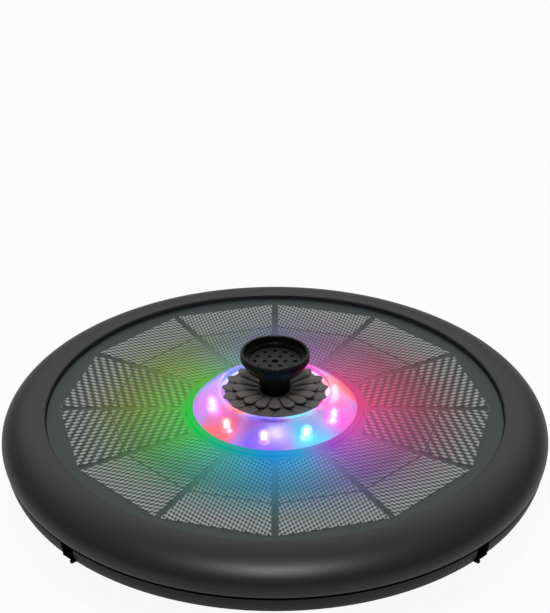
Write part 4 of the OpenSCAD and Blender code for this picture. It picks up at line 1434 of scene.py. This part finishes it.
@dataclass
class Rosette(Assembly):
    """Two tiers of petals round the nozzle, on a disc that sits in the lens's recess."""

    count: int = 17
    front: float = -90.0
    seat: float = extent("lotus_rosette").low
    disc: float = 25.5
    disc_top: float = 59.9
    disc_round: float = 0.2
    hub: float = 8.9
    hub_round: float = 0.3
    hub_slope: float = 1.0
    pocket: float = 8.3
    pocket_z: float = 60.9
    hub_top: float = extent("nozzle_head").low
    columns: int = 12
    rows: int = 6
    rise: float = 1.4
    tip_power: float = 0.6
    tip_width: float = 0.04
    tip_flat: float = 0.6
    crease_angle: float = 60.0
    lower: PetalShape = PetalShape(
        root=9.0, shoulder=20.5, reach=27.4, widest=4.2, root_top=60.2, reach_top=61.1,
        droop=0.1, arch=0.6, thick=1.0, fill=0.9, bluntness=1.7, crease=1.2,
    )
    upper: PetalShape = PetalShape(
        root=8.4, shoulder=18.4, reach=22.2, widest=3.1, root_top=61.5, reach_top=63.6,
        droop=0.2, arch=0.6, thick=1.3, fill=0.94, bluntness=3.0, crease=2.2,
    )

    def petal(self, name: str, shape: PetalShape) -> Piece:
        """Shapes one petal from a grid: first its cross-section, then its outline and rise.

        Args:
            name: Its name.
            shape: Its sizes.

        Returns:
            The petal, with its thickness.
        """
        grid = primitive("grid", name, x_subdivisions=self.columns, y_subdivisions=self.rows, size=2 * MM)
        middle = self.rows // 2
        with editing(grid):
            for row in range(middle + 1):
                side = row / middle
                pick(lambda spot, side=side: abs(abs(spot.y) - side) < NEAR)
                bpy.ops.transform.translate(value=(0, 0, -side ** shape.crease * MM))
            for column in range(self.columns + 1):
                share = column / self.columns
                radius = shape.root + (shape.reach - shape.root) * share
                tip = max(0.0, (radius - shape.shoulder) / (shape.reach - shape.shoulder))
                wide = min(radius * math.sin(math.pi / self.count) * shape.fill, shape.widest)
                wide *= max(1 - tip ** shape.bluntness, 0.0) ** self.tip_power + self.tip_width
                arch = shape.arch * (1 - self.tip_flat * tip)
                height = shape.root_top + (shape.reach_top - shape.root_top) * min(share * self.rise, 1.0)
                x = (2 * share - 1) * MM
                pick(lambda spot, x=x: abs(spot.x - x / MM) < NEAR)
                bpy.ops.transform.resize(value=(1, wide, arch), center_override=(x, 0, 0))
                bpy.ops.transform.translate(value=(0, 0, (height - shape.droop * tip ** 2) * MM))
            bpy.ops.mesh.select_all(action="SELECT")
            half = (shape.reach - shape.root) / 2
            bpy.ops.transform.resize(value=(half, 1, 1), center_override=(0, 0, 0))
            bpy.ops.transform.translate(value=((shape.root + half) * MM, 0, 0))
        modify(grid, "SOLIDIFY", thickness=shape.thick * MM, offset=-1)
        modify(grid, "SUBSURF", levels=1, render_levels=1)
        return smooth(close_up(grid), self.crease_angle)

    def make(self) -> None:
        """Builds the disc and both tiers, the lower one half a petal round from the upper one."""
        section = soften([
            (RISER_HOLE, self.seat), (self.disc, self.seat), (self.disc, self.disc_top, self.disc_round),
            (self.hub + self.hub_slope, self.disc_top), (self.hub, self.hub_top, self.hub_round),
            (self.pocket, self.hub_top, self.disc_round), (self.pocket, self.pocket_z),
            (RISER_HOLE, self.pocket_z),
        ])
        pieces = [smooth(lathe("rosette_disc", section))]
        pitch = 360 / self.count
        for tier, shape, turn in (("lower", self.lower, pitch / 2), ("upper", self.upper, 0.0)):
            angles = round_angles(self.count, self.front + turn)
            petals = around(self.petal(tier, shape), f"{tier}_petal", angles)
            pieces.append(join(f"rosette_{tier}_petals", petals))
        for piece in pieces:
            self.dress(piece, ROSETTE, "rosette_plastic", "lotus_rosette")


@dataclass
class Nozzle(Assembly):
    """The pull-off nozzle: neck, bowl, rim band and jet plate."""

    body: str = "nozzle"
    neck: float = 8.0
    neck_low: float = extent("nozzle_head").low
    neck_round: float = 0.3
    neck_top: float = 71.5
    neck_blend: float = 0.4
    bowl: float = 16.5
    bowl_foot: float = 8.5
    rim: float = extent("nozzle_head").reach
    rim_low: float = 78.5
    rim_top: float = extent("nozzle_head").high
    rim_round: float = 0.5
    lip_round: float = 0.7
    wall: float = 1.6
    plate_play: float = 0.1
    plate: float = extent("jet_plate").reach + plate_play
    plate_z: float = extent("jet_plate").low
    plenum: float = 11.5
    plenum_low: float = 73.1
    bore: float = 6.1
    bore_top: float = 70.3
    small_bore: float = 4.0
    steps: int = 128

    def head(self) -> Piece:
        """Turns the nozzle's head.

        Returns:
            The head, open above and below.
        """
        across, up = self.bowl - self.bowl_foot, self.neck_top - self.rim_low
        bowl = oval((self.bowl_foot, self.rim_low), across, up, 0, 90, 16)
        inner = self.rim - self.wall
        section = soften([
            (self.bore, self.neck_low), (self.neck, self.neck_low, self.neck_round),
            (self.neck, self.neck_top - self.neck_blend), *bowl, (self.rim, self.rim_low, self.rim_round),
            (self.rim, self.rim_top, self.lip_round), (inner, self.rim_top, self.rim_round),
            (inner, self.rim_low, self.neck_round), (self.plate, self.rim_low), (self.plate, self.plate_z),
            (self.plenum, self.plate_z), (self.plenum, self.plenum_low), (self.small_bore, self.plenum_low),
            (self.small_bore, self.bore_top), (self.bore, self.bore_top),
        ])
        return smooth(lathe("nozzle_bowl_and_neck", section, self.steps))

    def make(self) -> None:
        """Builds the head and dresses the jet plate."""
        self.dress(self.head(), NOZZLE, "nozzle_plastic", "nozzle_head")
        self.dress(polish("jet_plate", "nozzle_jet_plate"), JETS, "nozzle_plastic", "jet_plate")
        self.paint(JETS, "riser_tube")
        self.paint(SEAL_AND_SHADE, "nozzle_seal")


@dataclass
class Inside(Assembly):
    """The pump, the intake, the battery and the control board."""

    def make(self) -> None:
        """Dresses the CAD nodes that stay."""
        for finish, nodes in (
            (PUMP, ("pump_body", "pump_lid", "pump_rear_cap", "battery_holders", "intake_cover")),
            (SEAL_AND_SHADE, ("riser_seal", "pump_seal", "pump_grommet", "shaft_bushes")),
            (STEEL, ("pump_screws", "board_screws")),
            (IMPELLER, ("impeller",)),
            (FERRITE, ("rotor_magnet",)),
            (CERAMIC, ("rotor_shaft",)),
            (CORE, ("stator_core",)),
            (COPPER, ("stator_coils",)),
            (FOAM, ("intake_sponge",)),
            (BATTERY, ("battery_cells",)),
            (CIRCUIT, ("control_board",)),
            (COMPONENT, ("board_components", "switch_body")),
            (BUTTON, ("button_cap",)),
            (RED_WIRE, ("panel_leads", "battery_leads")),
            (GREY_WIRE, ("led_leads",)),
            (BLACK_WIRE, ("pump_lead",)),
        ):
            self.paint(finish, *nodes)


@dataclass(frozen=True)
class Lamp:
    """One soft area lamp: its place and size in metres, and its power in watts."""

    name: str
    spot: tuple[float, float, float]
    size: tuple[float, float]
    power: float


@dataclass
class Studio:
    """The pale floor, the soft lamps and the camera at the photograph's view."""

    eye: tuple[float, float, float] = (0.0, -0.784125, 0.542175)
    aim: tuple[float, float, float] = (0.0, 0.0, 0.108576)
    lens: float = 106.31
    sensor: float = 36.0
    floor_size: float = 12.0
    paper: str = "#fbfbfb"
    whiteness: float = 0.93
    fill: float = 0.2
    bounce: float = 0.6
    lamp_aim: tuple[float, float, float] = (0.0, 0.0, 0.04)
    lamps: tuple[Lamp, ...] = (
        Lamp("key_over_front", (0.0, -0.42, 1.25), (0.3, 0.3), 7.5),
        Lamp("fill_back", (0.0, 1.3, 1.1), (2.4, 1.2), 7.5),
        Lamp("fill_left", (-1.2, 0.3, 1.3), (1.4, 1.4), 0.6),
        Lamp("fill_right", (1.2, 0.3, 1.3), (1.4, 1.4), 0.6),
    )

    def camera(self) -> None:
        """Sets the camera, whose long side is the picture's height."""
        data = bpy.data.cameras.new("camera")
        data.sensor_fit = "VERTICAL"
        data.sensor_height = self.sensor
        data.lens = self.lens
        bpy.context.scene.camera = self.hang("camera", data, self.eye, self.aim)

    def hang(self, name: str, data: Any, spot: Sequence[float], aim: Sequence[float]) -> Piece:
        """Puts a camera or a lamp at its place and points it.

        Args:
            name: Its name.
            data: The camera's or lamp's data.
            spot: Where it hangs, in metres.
            aim: Where it points, in metres.

        Returns:
            The new object.
        """
        holder = bpy.data.objects.new(name, data)
        holder.location = spot
        holder.rotation_euler = (Vector(aim) - Vector(spot)).to_track_quat("-Z", "Y").to_euler()
        bpy.context.scene.collection.objects.link(holder)
        return holder

    def light(self, lamp: Lamp) -> None:
        """Adds one lamp.

        Args:
            lamp: Its place, size and power.
        """
        data = bpy.data.lights.new(lamp.name, "AREA")
        data.shape = "RECTANGLE"
        data.size, data.size_y = lamp.size
        data.energy = lamp.power
        self.hang(lamp.name, data, lamp.spot, self.lamp_aim)

    def floor(self) -> None:
        """Lays the pale floor, which is white to the camera and keeps the shadow.

        Only the camera meets it, and only from above. The light that its paper would throw back at
        the fountain comes from the world's lower half, so the underside is lit as well.
        """
        floor = primitive("plane", "studio_floor", size=self.floor_size)
        material, tree = blank(bpy.data.materials, "floor_paper")
        paper = add(tree, "BsdfDiffuse", linear(self.paper))
        mixed = add(tree, "MixShader", self.whiteness, paper, add(tree, "Emission", linear("#ffffff"), 1.0))
        seen = add(tree, "LightPath").outputs["Is Camera Ray"]
        under = add(tree, "NewGeometry").outputs["Backfacing"]
        met = add(tree, "Math SUBTRACT", seen, under, use_clamp=True)
        shown = add(tree, "MixShader", met, add(tree, "BsdfTransparent"), mixed)
        add(tree, "OutputMaterial", Surface=shown)
        floor.data.materials.append(material)

    def sky(self) -> None:
        """Sets the world.

        It is white to the camera and through the lens, and else a soft fill, brighter from below.
        """
        world, tree = blank(bpy.data.worlds, "studio_sky")
        bpy.context.scene.world = world
        path = add(tree, "LightPath")
        seen = add(tree, "Math MAXIMUM", path.outputs["Is Camera Ray"], path.outputs["Is Transmission Ray"])
        height = add(tree, "SeparateXYZ", add(tree, "TexCoord").outputs["Generated"]).outputs["Z"]
        below = add(tree, "Math LESS_THAN", height, 0.0)
        light = add(tree, "Math MULTIPLY_ADD", below, self.bounce - self.fill, self.fill)
        sky = add(tree, "Background", linear("#ffffff"), add(tree, "Math MAXIMUM", seen, light))
        add(tree, "OutputWorld", Surface=sky)

    def make(self) -> None:
        """Sets up the camera, the floor, the world and the lamps."""
        self.camera()
        self.floor()
        self.sky()
        for lamp in self.lamps:
            self.light(lamp)
        bpy.context.scene.view_settings.view_transform = "Standard"


def main() -> None:
    """Sets up the studio and builds the sub-assemblies in order."""
    logging.basicConfig(level=logging.INFO, format="%(name)s: %(message)s")
    Studio().make()
    for assembly in (FloatRing(), SolarPanel(), LightRing(), Rosette(), Nozzle(), Inside()):
        LOG.info("building %s", type(assembly).__name__)
        assembly.make()
    deselect()


if __name__ == "__main__":
    main()
